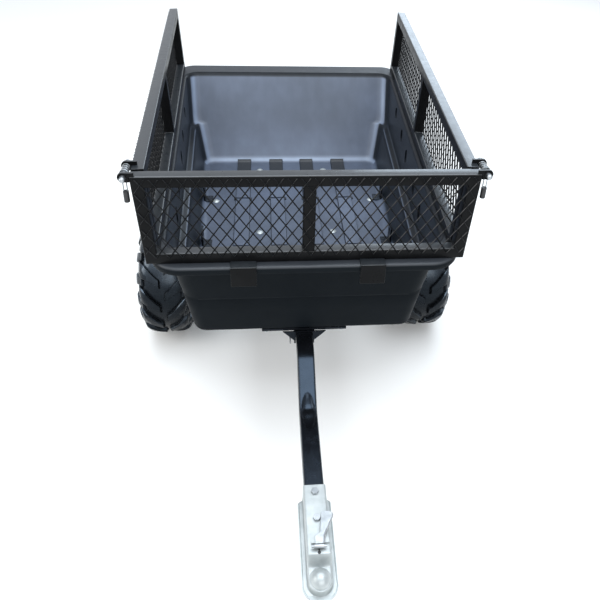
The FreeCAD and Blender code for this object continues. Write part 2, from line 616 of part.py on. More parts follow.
def make_saddle(flat_low):
    """Bracket that drops over the drawbar; its cheeks straddle the lock pin in slots open downwards."""
    top = dim["floor_top"] - dim["wall"] - dim["flat_thick"]
    low, thick = dim["saddle_low"], dim["cheek_thick"]
    outer, inner = dim["cheek_centre"] + thick / 2, dim["cheek_centre"] - thick / 2 - 2
    above_pin = top - 15
    wing_points = [(-67, top), (-outer, above_pin), (-outer, low), (-inner, low), (-inner, top - 2),
                   (inner, top - 2), (inner, low), (outer, low), (outer, above_pin), (67, top)]
    wing = plate("saddle_wing", wing_points, 5, (0, bed(dim["saddle_front"] + 5), 0), FRONT_VIEW)
    cheeks = []
    for side in (-1, 1):
        at = (f"{side} * dims.cheek_centre - dims.cheek_thick / 2",
              "dims.bed_front + dims.saddle_front", "dims.saddle_low")
        size = ("dims.cheek_thick", "dims.cheek_long", f"{flat_low} - dims.saddle_low")
        cheeks.append(box(f"saddle_cheek_{side + 1}", size, at))
    middle, pin_height = bed(dim["lock_station"]), dim["bar_high"]
    seat = dim["lock_radius"] + dim["slot_play"]
    mouth = [(middle - seat - 3, low - 12), (middle + seat + 3, low - 12),
             (middle + seat, pin_height), (middle - seat, pin_height)]
    slots = [
        plate("saddle_slot", mouth, 120, (-60, 0, 0), SIDE_VIEW),
        rod("saddle_seat", "dims.lock_radius + dims.slot_play", 120, (-60, LOCK_Y, "dims.bar_high"), ALONG_X),
    ]
    keep("front_saddle", cut("front_saddle", fuse("saddle_whole", wing, *cheeks), *slots))
    keep("saddle_pad", box("saddle_pad", (44, 30, 4.2), (-22, "dims.bed_front + 120", f"{flat_low} - 4.2")))


def make_floor_bolts(low, flat_low):
    """Round-headed bolts down through the floor, and the nuts under the bars or runners."""
    bolts, nuts = [], []
    for i, (x, station) in enumerate(FLOOR_BOLTS):
        seat = low if x == dim["runner_centre"] else flat_low
        for side in (-1, 1):
            at = (side * x, f"dims.bed_front + {station}")
            long = f"dims.floor_top - ({seat}) + 14"
            shank = rod(f"floor_shank_{i}_{side + 1}", 5, long, (*at, f"{seat} - 14"))
            head = ball(f"floor_head_{i}_{side + 1}", 19, (*at, "dims.floor_top - 13.5"))
            under = box(f"floor_head_trim_{i}_{side + 1}", (60, 60, 60),
                        (side * x - 30, f"dims.bed_front + {station - 30}", "dims.floor_top - 60"))
            cap = cut(f"floor_cap_{i}_{side + 1}", head, under)
            bolts.append(fuse(f"floor_bolt_{i}_{side + 1}", shank, cap))
            nut = hexagon(f"floor_nut_blank_{i}_{side + 1}", 17, 9, (*at, f"{seat} - 9"))
            nuts.append(cut(f"floor_nut_{i}_{side + 1}", nut, shank))
    keep("floor_bolts", group("floor_bolts", *bolts))
    keep("floor_nuts", group("floor_nuts", *nuts))


def make_tie_downs():
    """Upright steel tie-down brackets on the floor beside the lower walls."""
    brackets = []
    for side in (-1, 1):
        for station in (560, 870):
            tag = f"{station}_{side + 1}"
            edge = dim["floor_half"] + dim["taper"] * station - 6
            foot_x = f"{edge} - dims.tie_foot" if side > 0 else -edge
            post_x = f"{edge} - dims.tie_thick" if side > 0 else -edge
            where = f"dims.bed_front + {station} - dims.tie_long / 2"
            foot = box(f"tie_foot_{tag}", ("dims.tie_foot", "dims.tie_long", 5),
                       (foot_x, where, "dims.floor_top"))
            post = box(f"tie_post_{tag}", ("dims.tie_thick", "dims.tie_long", "dims.tie_high"),
                       (post_x, where, "dims.floor_top"))
            eye_at = (side * edge - 30, f"dims.bed_front + {station}", "dims.floor_top + dims.tie_eye_up")
            eye = rod(f"tie_eye_{tag}", "dims.tie_eye", 60, eye_at, ALONG_X)
            brackets.append(cut(f"tie_down_{tag}", fuse(f"tie_{tag}", foot, post), eye))
    keep("tie_down_brackets", group("tie_down_brackets", *brackets))


# ---------------------------------------------------------------- side rails

def lean_turn():
    """Placement of the right rail: local X along the rail, local Y up it, local Z outwards."""
    yaw = math.atan(dim["taper"])
    lean = math.atan((dim["rail_head"] - dim["rail_foot"]) / dim["rail_high"])
    along = Vector(math.sin(yaw), math.cos(yaw), 0)
    outward = Vector(math.cos(yaw), -math.sin(yaw), 0)
    up = Vector(0, 0, math.cos(lean)) + outward * math.sin(lean)
    normal = along.cross(up)
    start = dim["rail_tube"] + dim["rail_gap"]
    corner = Vector(dim["rail_foot"] + dim["taper"] * start, bed(start), dim["rim_top"])
    turn = Matrix(along.x, up.x, normal.x, corner.x, along.y, up.y, normal.y, corner.y,
                  along.z, up.z, normal.z, corner.z, 0, 0, 0, 1)
    return Placement(turn)


def inset(points, amount):
    """A convex four-sided outline moved inwards by an amount, or outwards if it is negative."""
    corners = [Vector(x, y, 0) for x, y in points]
    moved = []
    for i, corner in enumerate(corners):
        back = (corners[i - 1] - corner).normalize()
        ahead = (corners[(i + 1) % len(corners)] - corner).normalize()
        half = back.getAngle(ahead) / 2
        moved.append(corner + (back + ahead).normalize() * (amount / math.sin(half)))
    return [(p.x, p.y) for p in moved]


def tube_frame(name, outer, bays, placement):
    """Welded frame of square tube: an outline with open bays, hollowed to the tube's wall."""
    wall = dim["rail_wall"]
    solid = outline(outer)
    for bay in bays:
        solid += outline(bay)
    void = outline(inset(outer, wall))
    for bay in bays:
        void += outline(inset(bay, -wall))
    face = sketch(name + "_face", solid)
    face.Placement = placement.multiply(Placement(Vector(0, 0, -dim["rail_tube"]), Rotation()))
    core = sketch(name + "_core", void)
    core.Placement = placement.multiply(Placement(Vector(0, 0, wall - dim["rail_tube"]), Rotation()))
    return cut(name, extruded(name + "_solid", face, "dims.rail_tube"),
               extruded(name + "_void", core, "dims.rail_tube - 2 * dims.rail_wall"))


def mesh_sheet(name, region, placement):
    """Expanded-metal sheet: a thin plate with every whole diamond of the pattern cut out."""
    wide, tall, strand = dim["mesh_wide"], dim["mesh_tall"], dim["strand"]
    reach_x, reach_y = wide / 2 - strand * 0.62, tall / 2 - strand * 0.86
    edge = Part.makePolygon([Vector(x, y, 0) for x, y in region + region[:1]])
    low_x, high_x = min(x for x, _ in region), max(x for x, _ in region)
    low_y, high_y = min(y for _, y in region), max(y for _, y in region)
    wires = [edge]
    plain = Part.Face(edge)
    rows = int((high_y - low_y) / (tall / 2)) + 1
    for row in range(1, rows):
        y = low_y + row * tall / 2
        columns = int((high_x - low_x) / wide) + 1
        for column in range(columns):
            x = low_x + (column + 0.5 * (row % 2)) * wide
            tips = [Vector(x - reach_x, y, 0), Vector(x, y + reach_y, 0),
                    Vector(x + reach_x, y, 0), Vector(x, y - reach_y, 0)]
            if all(plain.isInside(tip, 0.001, True) for tip in tips):
                wires.append(Part.makePolygon(tips + tips[:1]))
    thing = doc.addObject("Part::Feature", name)
    thing.Shape = Part.Face(wires).extrude(Vector(0, 0, dim["mesh_thick"]))
    thing.Placement = placement
    return thing


def make_front_rail():
    """Front panel: a frame wider at the top, its mesh, the two hook straps and the latch ears."""
    tube, high = dim["rail_tube"], dim["rail_high"]
    foot, head = dim["rail_foot"], dim["rail_head"]
    outer = [(-foot, 0), (foot, 0), (head, high), (-head, high)]
    step = (head - foot) / high
    bays = []
    for side in (-1, 1):
        bay = [(side * tube / 2, tube), (side * (foot + step * tube - tube), tube),
               (side * (head - step * tube - tube), high - tube), (side * tube / 2, high - tube)]
        bays.append(bay if side > 0 else bay[::-1])
    front = Placement(Vector(0, bed(0), dim["rim_top"]), FRONT_VIEW)
    frame = keep("front_rail_frame", tube_frame("front_rail_frame", outer, bays, front))
    region = [(-foot + 6, 20), (foot - 6, 20), (head - 7, high - 8), (-head + 7, high - 8)]
    keep("front_mesh", mesh_sheet("front_mesh", region, front))
    straps = []
    for side in (-1, 1):
        wide, thick, drop_long = "dims.strap_width", "dims.strap_thick", 62
        x = f"{side} * 172 - dims.strap_width / 2"
        near = f"dims.bed_front - dims.rim_ahead - 1 - {thick}"
        top_size = (wide, f"dims.rim_ahead + 1 + {thick}", thick)
        top = box(f"strap_top_{side + 1}", top_size, (x, near, "dims.rim_top"))
        drop_at = (x, near, f"dims.rim_top + {thick} - {drop_long}")
        drop = box(f"strap_drop_{side + 1}", (wide, thick, drop_long), drop_at)
        straps.append(fuse(f"front_strap_{side + 1}", top, drop))
    keep("front_hook_straps", group("front_hook_straps", *straps))
    return latch_ear("front_ear", 0, frame)


def latch_ear(name, station, frame):
    """Plate eye that carries the latch pin, trimmed to the frame it is welded to."""
    start, up = f"dims.bed_front + {station}", "dims.rim_top + dims.latch_up"
    tab = box(name + "_tab", ("dims.latch_out - 424", 6, 26), (424, start, f"{up} - 13"))
    eye = rod(name + "_eye", "dims.ear_eye", 6, ("dims.latch_out", start, up), ALONG_Y)
    hole = rod(name + "_hole", "dims.latch_radius + dims.latch_gap", 20,
               ("dims.latch_out", f"{start} - 7", up), ALONG_Y)
    return cut(name, fuse(name + "_blank", tab, eye), hole, frame)


def make_side_rails():
    """Right and left panels with mesh, hanging straps and the rear latch ears."""
    tube, high, long = dim["rail_tube"], dim["rail_high"], dim["rail_long"]
    outer = [(0, 0), (long, 0), (long, high), (0, high)]
    post = (long - tube) / 2
    bays = []
    for near, far in ((tube, post), (post + tube, long - tube)):
        bays.append([(near, tube), (far, tube), (far, high - tube), (near, high - tube)])
    side = lean_turn()
    frame = tube_frame("side_rail_frame", outer, bays, side)
    keep_pair("side_rail_frame", frame)
    region = [(34, 20), (long - 8, 20), (long - 8, high - 8), (34, high - 8)]
    keep_pair("side_mesh", mesh_sheet("side_mesh", region, side))
    straps = []
    for i, station in enumerate((240, 1130)):
        points = [(station - 34, -54), (station + 34, -54), (station + 34, 16), (station - 34, 16)]
        drawing = sketch(f"side_strap_{i}_outline", outline(points, [8, 8, 0, 0]))
        drawing.Placement = side
        straps.append(extruded(f"side_strap_{i}", drawing, "dims.strap_thick"))
    right = group("side_straps_right", *straps)
    keep("side_hook_straps", group("side_hook_straps", right, mirrored("side_straps_left", right)))
    return latch_ear("side_ear", 60, frame)


def make_latch_ears(*right_ears):
    left_ears = [mirrored(f"latch_ear_left_{i}", ear) for i, ear in enumerate(right_ears)]
    keep("latch_ears", group("latch_ears", *right_ears, *left_ears))


COIL_RINGS = 5


def make_latches():
    """Spring pins that lock the front panel to the side panels, with hanging vinyl grips.

    Each coil is built as a row of equal rings held by two thin links, which fills the same space.
    """
    up, out = "dims.rim_top + dims.latch_up", "dims.latch_out"
    stem = rod("latch_stem", "dims.latch_radius", 93, (out, "dims.bed_front - 11", up), ALONG_Y)
    tip = ball("latch_tip", "dims.latch_radius", (out, "dims.bed_front - 11", up))
    legs = []
    for side in (-1, 1):
        at = (f"{out} + {side} * 4.4", "dims.bed_front + 12.5", f"{up} - 66")
        legs.append(rod(f"latch_leg_{side + 1}", 1.6, 66, at))
    collar = rod("latch_collar", 11.5, 3, (out, "dims.bed_front + 19", up), ALONG_Y)
    keep_pair("latch_pin", fuse("latch_pin_right", stem, tip, collar, *legs))
    grip = rod("latch_grip_skin", 7.2, 30, (out, "dims.bed_front + 12.5", f"{up} - 73"))
    keep_pair("latch_grip", cut("latch_grip_right", grip, *legs))
    coil_start = "dims.bed_front + dims.coil_from"
    rings = []
    for i in range(COIL_RINGS):
        ring = doc.addObject("Part::Torus", f"latch_ring_{i}")
        bind(ring, Radius1="dims.coil_radius", Radius2="dims.coil_wire")
        along = f"{coil_start} + dims.coil_long * {i} / {COIL_RINGS - 1}"
        rings.append(place(ring, (out, along, up), ALONG_Y))
    links = []
    for side in (-1, 1):
        at = (out, coil_start, f"{up} + {side} * dims.coil_radius")
        name = f"latch_ring_link_{side + 1}"
        links.append(rod(name, "dims.coil_link", "dims.coil_long", at, ALONG_Y))
    keep_pair("latch_spring", fuse("latch_spring_right", *rings, *links))


# ---------------------------------------------------------------- lock pin

def make_lock_pin():
    """Pull pin through the drawbar under the saddle, with the ring that it is pulled by."""
    at = (LOCK_Y, "dims.bar_high")
    shank = rod("lock_shank", "dims.lock_radius", 84, (-40, *at), ALONG_X)
    head = rod("lock_head", 11, 6, (-46, *at), ALONG_X)
    tongue = box("lock_tongue", (14, 6, 14), (-58, LOCK_Y + " - 3", "dims.bar_high - 7"))
    eye = rod("lock_eye", 3.2, 20, (-53, LOCK_Y + " - 10", "dims.bar_high"), ALONG_Y)
    keep("lock_pin", cut("lock_pin", fuse("lock_whole", shank, head, tongue), eye))
    ring = doc.addObject("Part::Torus", "lock_ring")
    bind(ring, Radius1=13, Radius2=1.8)
    keep("lock_ring", place(ring, (-53, LOCK_Y, "dims.bar_high - 13"), ALONG_X))


def check_everything():
    """Stops before anything is written if an object failed or a sub-part has no valid shape."""
    doc.recompute()
    failed = [o.Name for o in doc.Objects if "Invalid" in o.State or "Error" in o.State]
    if failed:
        raise SystemExit(f"objects that failed: {failed}")
    for label, thing in nodes.items():
        if thing.Shape.isNull() or not thing.Shape.isValid() or not thing.Shape.Solids:
            raise SystemExit(f"sub-part without a valid solid: {label}")


def write_steps():
    os.makedirs("parts", exist_ok=True)
    for label, thing in nodes.items():
        thing.Shape.exportStep(f"parts/{label}.step")


fill_sheet()
make_drawbar()
make_risers()
make_axle()
make_struts()
make_pivot_tube()
make_coupler()
make_wheels()
make_tub()
make_underframe()
make_tie_downs()
make_latch_ears(make_front_rail(), make_side_rails())
make_latches()
make_lock_pin()
check_everything()
write_steps()
print(len(nodes), "sub-parts written")
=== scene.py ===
"""Looks for the two-wheel dump cart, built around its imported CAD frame. Metres, row frame."""

import json
import math

import bmesh
import bpy
from mathutils import Matrix, Vector

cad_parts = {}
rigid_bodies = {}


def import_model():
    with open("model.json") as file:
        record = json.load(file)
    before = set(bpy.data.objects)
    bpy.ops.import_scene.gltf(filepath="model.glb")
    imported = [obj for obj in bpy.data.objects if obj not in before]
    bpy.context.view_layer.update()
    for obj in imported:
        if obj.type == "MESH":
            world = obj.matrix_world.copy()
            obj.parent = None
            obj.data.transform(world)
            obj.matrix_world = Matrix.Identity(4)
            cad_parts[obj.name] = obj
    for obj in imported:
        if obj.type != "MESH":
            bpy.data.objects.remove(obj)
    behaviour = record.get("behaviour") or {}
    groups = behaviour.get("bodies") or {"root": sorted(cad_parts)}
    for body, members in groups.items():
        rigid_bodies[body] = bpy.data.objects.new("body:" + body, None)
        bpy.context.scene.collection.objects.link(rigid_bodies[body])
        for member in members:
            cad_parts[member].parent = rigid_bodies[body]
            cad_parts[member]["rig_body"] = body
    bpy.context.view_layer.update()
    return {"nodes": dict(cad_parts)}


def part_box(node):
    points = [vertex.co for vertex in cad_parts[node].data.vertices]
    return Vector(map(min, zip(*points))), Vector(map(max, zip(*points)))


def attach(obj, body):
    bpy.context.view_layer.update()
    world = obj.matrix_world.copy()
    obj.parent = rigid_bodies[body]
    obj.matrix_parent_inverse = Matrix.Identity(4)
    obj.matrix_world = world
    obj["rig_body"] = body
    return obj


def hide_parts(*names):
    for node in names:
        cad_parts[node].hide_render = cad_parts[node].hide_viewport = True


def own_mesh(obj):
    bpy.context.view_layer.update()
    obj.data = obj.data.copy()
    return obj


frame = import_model()

# Places taken from the frame: bed stations run rearwards from the front rail's outer face.
BED_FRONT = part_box("front_rail_frame")[0].y
RIM_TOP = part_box("tub_shell")[1].z
RAIL_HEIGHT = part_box("front_rail_frame")[1].z - RIM_TOP
TUB_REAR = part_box("tub_shell")[1].y
AXLE = (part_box("tyre_right")[0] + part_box("tyre_right")[1]) / 2
TAPER = 0.043


def bed(station):
    """Row Y of a station on the bed."""
    return BED_FRONT + station


# ------------------------------------------------------------------ materials

def new_material(name):
    """An empty node material with one Principled shader."""
    made = bpy.data.materials.new(name)
    made.use_nodes = True
    tree = made.node_tree
    tree.nodes.clear()
    shader = tree.nodes.new("ShaderNodeBsdfPrincipled")
    output = tree.nodes.new("ShaderNodeOutputMaterial")
    tree.links.new(shader.outputs["BSDF"], output.inputs["Surface"])
    return made, tree, shader


def noise(tree, scale, detail=4.0, roughness=0.55, stretch=(1, 1, 1)):
    """Noise in object space, so it stays put on the piece."""
    where = tree.nodes.new("ShaderNodeTexCoord")
    mapping = tree.nodes.new("ShaderNodeMapping")
    mapping.inputs["Scale"].default_value = stretch
    texture = tree.nodes.new("ShaderNodeTexNoise")
    texture.inputs["Scale"].default_value = scale
    texture.inputs["Detail"].default_value = detail
    texture.inputs["Roughness"].default_value = roughness
    tree.links.new(where.outputs["Object"], mapping.inputs["Vector"])
    tree.links.new(mapping.outputs["Vector"], texture.inputs["Vector"])
    return texture.outputs["Fac"]


def remap(tree, value, low, high, out_low, out_high):
    """Maps one range of a value to another and returns the output socket."""
    node = tree.nodes.new("ShaderNodeMapRange")
    for socket, number in zip(("From Min", "From Max", "To Min", "To Max"), (low, high, out_low, out_high)):
        node.inputs[socket].default_value = number
    tree.links.new(value, node.inputs["Value"])
    return node.outputs["Result"]


def blend_colours(tree, factor, dark, light):
    """Colour ramp from dark to light along a factor."""
    node = tree.nodes.new("ShaderNodeValToRGB")
    node.color_ramp.elements[0].position = 0.35
    node.color_ramp.elements[1].position = 0.68
    node.color_ramp.elements[0].color = (*dark, 1)
    node.color_ramp.elements[1].color = (*light, 1)
    tree.links.new(factor, node.inputs["Fac"])
    return node.outputs["Color"]


def bump(tree, shader, layers):
    """Stacks bump layers of (height socket, distance in metres, strength)."""
    last = None
    for height, distance, strength in layers:
        node = tree.nodes.new("ShaderNodeBump")
        node.inputs["Distance"].default_value = distance
        node.inputs["Strength"].default_value = strength
        tree.links.new(height, node.inputs["Height"])
        if last is not None:
            tree.links.new(last, node.inputs["Normal"])
        last = node.outputs["Normal"]
    tree.links.new(last, shader.inputs["Normal"])


def surface(name, dark, light, mottle, rough, metallic=0.0, specular=(0.5, 0.5), coat=(0.0, 0.0),
            grain=(900.0, 0.0002, 0.4), wave=None, stretch=(1, 1, 1), dust_and_sheen=None, painted_sky_tint=(1, 1, 1)):
    """A procedural finish: mottled colour, uneven roughness, fine grain and an optional long wave.

    Specular and coat are pairs for faces that look level or down and for faces that look up. Upper faces are
    mixed towards a paler colour that is partly dust and partly a painted sheen of the sky.
    """
    made, tree, shader = new_material(name)
    shader.inputs["Metallic"].default_value = metallic
    shader.inputs["Coat Roughness"].default_value = 0.10
    # Painted reflection colour: a blue specular tint that stands for the sky in the reflections.
    shader.inputs["Specular Tint"].default_value = (*painted_sky_tint, 1)
    where = tree.nodes.new("ShaderNodeNewGeometry")
    split = tree.nodes.new("ShaderNodeSeparateXYZ")
    tree.links.new(where.outputs["Normal"], split.inputs["Vector"])
    upward = remap(tree, split.outputs["Z"], 0.25, 0.85, 0.0, 1.0)
    for socket, pair in (("Specular IOR Level", specular), ("Coat Weight", coat)):
        tree.links.new(remap(tree, upward, 0.0, 1.0, *pair), shader.inputs[socket])
    blotches = noise(tree, mottle, stretch=stretch)
    colour = blend_colours(tree, blotches, dark, light)
    # Upper faces are mixed towards a paler colour: partly dust, partly a painted sheen of the sky.
    if dust_and_sheen:
        dust_and_sheen_mix = tree.nodes.new("ShaderNodeMix")
        dust_and_sheen_mix.data_type = "RGBA"
        dust_and_sheen_mix.inputs["B"].default_value = (*dust_and_sheen, 1)
        tree.links.new(upward, dust_and_sheen_mix.inputs["Factor"])
        tree.links.new(colour, dust_and_sheen_mix.inputs["A"])
        colour = dust_and_sheen_mix.outputs["Result"]
    tree.links.new(colour, shader.inputs["Base Color"])
    smears = noise(tree, mottle * 3.1, stretch=stretch)
    tree.links.new(remap(tree, smears, 0.3, 0.7, *rough), shader.inputs["Roughness"])
    layers = [(noise(tree, grain[0], detail=2.0, stretch=stretch), grain[1], grain[2])]
    if wave:
        layers.append((noise(tree, wave[0], detail=1.0), wave[1], wave[2]))
    bump(tree, shader, layers)
    return made


def painted_sheen_inside(name):
    """Poly with painted sheen, highlights and shade from the tub's per-vertex sheen value, streaked down the
    walls.
    """
    made, tree, shader = new_material(name)
    painted_sheen = tree.nodes.new("ShaderNodeAttribute")
    painted_sheen.attribute_name = "painted_sheen"
    streaks = noise(tree, 26.0, detail=3.0, stretch=(1.0, 1.0, 0.10))
    clouds = noise(tree, 3.2, detail=3.0)
    uneven = tree.nodes.new("ShaderNodeMath")
    uneven.operation = "MULTIPLY_ADD"
    tree.links.new(painted_sheen.outputs["Fac"], uneven.inputs[0])
    tree.links.new(remap(tree, clouds, 0.3, 0.7, 0.84, 1.14), uneven.inputs[1])
    tree.links.new(remap(tree, streaks, 0.40, 0.75, -0.012, 0.030), uneven.inputs[2])
    # Ramp from near black to pale blue-grey: painted shade, painted sheen and painted highlights of the
    # inside.
    ramp = tree.nodes.new("ShaderNodeValToRGB")
    stops = ((0.0, (0.0060, 0.0072, 0.0092)), (0.25, (0.021, 0.027, 0.036)), (0.5, (0.080, 0.101, 0.146)),
             (0.75, (0.148, 0.188, 0.262)), (1.0, (0.28, 0.345, 0.46)))
    for i, (at, colour) in enumerate(stops):
        if i in (0, len(stops) - 1):
            stop = ramp.color_ramp.elements[0 if i == 0 else -1]
        else:
            stop = ramp.color_ramp.elements.new(at)
        stop.position = at
        stop.color = (*colour, 1)
    tree.links.new(uneven.outputs["Value"], ramp.inputs["Fac"])
    tree.links.new(ramp.outputs["Color"], shader.inputs["Base Color"])
    roughness = remap(tree, painted_sheen.outputs["Fac"], 0.0, 1.0, 0.36, 0.42)
    tree.links.new(roughness, shader.inputs["Roughness"])
    specular = remap(tree, painted_sheen.outputs["Fac"], 0.0, 0.6, 0.10, 0.55)
    tree.links.new(specular, shader.inputs["Specular IOR Level"])
    grain, ripple = noise(tree, 1400.0, detail=2.0), noise(tree, 6.0, detail=1.0)
    bump(tree, shader, [(grain, 0.00012, 0.25), (ripple, 0.003, 0.25)])
    return made


def make_materials():
    """Every finish by name. Colours are pairs of the darker and the lighter mottle."""
    finishes = {
        # The upper-face colours below are partly dust and partly a painted sheen of the sky.
        "tub_outside": ((0.0056, 0.0074, 0.0092), (0.0066, 0.0086, 0.0106), 9.0, (0.46, 0.56), dict(
            specular=(0.03, 0.55), grain=(1500.0, 0.00018, 0.5), wave=(7.0, 0.002, 0.15),
            dust_and_sheen=(0.024, 0.028, 0.034))),
        # A darker copy of the tub plastic for rib sides, notches and rib ends: painted shade.
        "tub_painted_shade": ((0.0060, 0.0072, 0.0090), (0.0085, 0.0100, 0.0120), 12.0, (0.40, 0.5), dict(
            specular=(0.2, 0.4), grain=(1500.0, 0.00018, 0.5), dust_and_sheen=(0.016, 0.019, 0.024))),
        "powder": ((0.0040, 0.0042, 0.0046), (0.0064, 0.0067, 0.0072), 14.0, (0.26, 0.38), dict(
            specular=(0.06, 0.70), coat=(0.0, 0.32), grain=(700.0, 0.00025, 0.3),
            dust_and_sheen=(0.014, 0.017, 0.020))),
        # Blue specular tint: painted sky colour in the reflections.
        "gloss_black": ((0.0035, 0.0038, 0.0046), (0.0055, 0.0060, 0.0072), 11.0, (0.20, 0.30), dict(
            specular=(0.15, 0.55), grain=(500.0, 0.0002, 0.12), painted_sky_tint=(0.55, 0.74, 1.0))),
        "zinc": ((0.28, 0.30, 0.31), (0.46, 0.48, 0.50), 38.0, (0.28, 0.44), dict(
            metallic=1.0, grain=(1100.0, 0.00012, 0.35))),
        "stamped_zinc": ((0.34, 0.37, 0.37), (0.46, 0.49, 0.49), 24.0, (0.34, 0.48), dict(
            metallic=0.55, grain=(1100.0, 0.00012, 0.3), wave=(40.0, 0.0010, 0.2))),
        "steel": ((0.36, 0.37, 0.38), (0.52, 0.53, 0.54), 30.0, (0.28, 0.42), dict(
            metallic=1.0, grain=(900.0, 0.0001, 0.3), stretch=(1, 8, 8))),
        "dull_zinc": ((0.085, 0.090, 0.095), (0.20, 0.21, 0.22), 60.0, (0.26, 0.42), dict(
            metallic=1.0, grain=(1100.0, 0.00012, 0.35))),
        "silver_paint": ((0.50, 0.51, 0.52), (0.60, 0.61, 0.62), 18.0, (0.30, 0.40), dict(
            metallic=0.6, grain=(900.0, 0.0001, 0.25))),
        # Blue specular tint: painted sky colour in the reflections.
        "tyre_rubber": ((0.0030, 0.0034, 0.0040), (0.0062, 0.0068, 0.0078), 22.0, (0.20, 0.32), dict(
            specular=(0.16, 1.0), coat=(0.0, 0.35), grain=(900.0, 0.0003, 0.25), painted_sky_tint=(0.62, 0.80, 1.0))),
        "vinyl": ((0.006, 0.006, 0.007), (0.010, 0.010, 0.011), 60.0, (0.35, 0.5), dict(
            grain=(1200.0, 0.0002, 0.5))),
        "black_plastic": ((0.008, 0.008, 0.009), (0.014, 0.014, 0.015), 40.0, (0.40, 0.55), dict(
            grain=(1300.0, 0.0002, 0.5))),
    }
    made = {"tub_inside": painted_sheen_inside("tub_inside")}
    for name, (dark, light, mottle, rough, extras) in finishes.items():
        made[name] = surface(name, dark, light, mottle, rough, **extras)
    return made


# ------------------------------------------------------------------ mesh helpers

def sharpen(mesh, degrees=38):
    """Smooth shading with a crease wherever two faces meet at a steeper angle."""
    bm = bmesh.new()
    bm.from_mesh(mesh)
    limit = math.radians(degrees)
    for face in bm.faces:
        face.smooth = True
    for edge in bm.edges:
        if len(edge.link_faces) == 2:
            edge.smooth = edge.calc_face_angle(0.0) < limit
    bm.to_mesh(mesh)
    bm.free()


def piece(name, verts, faces, material, body, replaces=(), crease=38, indices=None):
    """Makes a mesh piece that rides on a body and may stand for CAD nodes."""
    mesh = bpy.data.meshes.new(name)
    mesh.from_pydata([tuple(v) for v in verts], [], faces)
    mesh.validate()
    return dress(bpy.data.objects.new(name, mesh), material, body, replaces, crease, indices)


def outwards(mesh):
    """Turns every face of a closed mesh to look outwards."""
    bm = bmesh.new()
    bm.from_mesh(mesh)
    bmesh.ops.recalc_face_normals(bm, faces=bm.faces)
    bm.to_mesh(mesh)
    bm.free()


def dress(thing, material, body, replaces=(), crease=38, indices=None):
    """Links, paints, shades and hangs an object on its body."""
    if thing.name not in bpy.context.scene.collection.objects:
        bpy.context.scene.collection.objects.link(thing)
    outwards(thing.data)
    thing.data.materials.clear()
    for one in (material if isinstance(material, (list, tuple)) else [material]):
        thing.data.materials.append(one)
    if indices:
        thing.data.polygons.foreach_set("material_index", indices)
    sharpen(thing.data, crease)
    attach(thing, body)
    if replaces:
        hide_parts(*replaces)
    return thing


def add_bevel(thing, width, segments=2, degrees=35):
    """Rounds the sharp edges of a piece."""
    rounding = thing.modifiers.new("edges", "BEVEL")
    rounding.width = width
    rounding.segments = segments
    rounding.limit_method = "ANGLE"
    rounding.angle_limit = math.radians(degrees)
    rounding.use_clamp_overlap = True
    rounding.harden_normals = False
    rounding.miter_outer = "MITER_ARC"
    return thing


def drop_sealed_skins(bm):
    """Removes closed skins that lie wholly inside another one, such as a tube's hidden bore."""
    left, groups = set(bm.verts), []
    while left:
        seed = left.pop()
        found, queue = {seed}, [seed]
        while queue:
            for edge in queue.pop().link_edges:
                for vert in edge.verts:
                    if vert in left:
                        left.discard(vert)
                        found.add(vert)
                        queue.append(vert)
        groups.append(found)
    boxes = []
    for found in groups:
        low = [min(v.co[i] for v in found) for i in range(3)]
        high = [max(v.co[i] for v in found) for i in range(3)]
        boxes.append((low, high))
    for i, (low, high) in enumerate(boxes):
        sealed = any(
            j != i and all(other[0][k] < low[k] - 0.0005 and other[1][k] > high[k] + 0.0005 for k in range(3))
            for j, other in enumerate(boxes)
        )
        if sealed:
            bmesh.ops.delete(bm, geom=list(groups[i]), context="VERTS")


def softened(node, material, width=0.0012, segments=2, skins=True):
    """A finished copy of a CAD node: joined faces, rounded edges and a real material."""
    source = frame["nodes"][node]
    thing = bpy.data.objects.new(node + "_finish", source.data.copy())
    bm = bmesh.new()
    bm.from_mesh(thing.data)
    bmesh.ops.remove_doubles(bm, verts=bm.verts, dist=0.00002)
    if skins:
        drop_sealed_skins(bm)
    bmesh.ops.dissolve_limit(bm, angle_limit=math.radians(0.6), verts=bm.verts, edges=bm.edges)
    bm.to_mesh(thing.data)
    bm.free()
    dress(thing, material, source["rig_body"], (node,))
    if width:
        add_bevel(thing, width, segments)
    return thing


def arc(centre, radius, start, end, count):
    """Points on an arc, angles in degrees."""
    points = []
    for i in range(count + 1):
        angle = math.radians(start + (end - start) * i / count)
        points.append((centre[0] + radius * math.cos(angle), centre[1] + radius * math.sin(angle)))
    return points


def bridge(loops, closed=True):
    """Quads between loops with equal numbers of points."""
    faces, count = [], len(loops[0])
    steps = count if closed else count - 1
    for row in range(len(loops) - 1):
        for i in range(steps):
            j = (i + 1) % count
            low, high = row * count, (row + 1) * count
            faces.append((low + i, low + j, high + j, high + i))
    return faces


def capped(loops):
    """Closed skin over loops with equal numbers of points."""
    verts = [v for loop in loops for v in loop]
    size = len(loops[0])
    faces = bridge(loops)
    faces.append(tuple(range(size))[::-1])
    faces.append(tuple(range(len(verts) - size, len(verts))))
    return verts, faces


def revolve(profile, centre, segments):
    """Turns (x, radius) points about the wheel axis. The profile is a closed loop."""
    loops = []
    for i in range(segments):
        angle = 2 * math.pi * i / segments
        loops.append([
            Vector((centre.x + x, centre.y + r * math.cos(angle), centre.z + r * math.sin(angle)))
            for x, r in profile
        ])
    faces = bridge(loops + [loops[0]])
    total = segments * len(profile)
    faces = [tuple(v % total for v in face) for face in faces]
    return [v for loop in loops for v in loop], faces


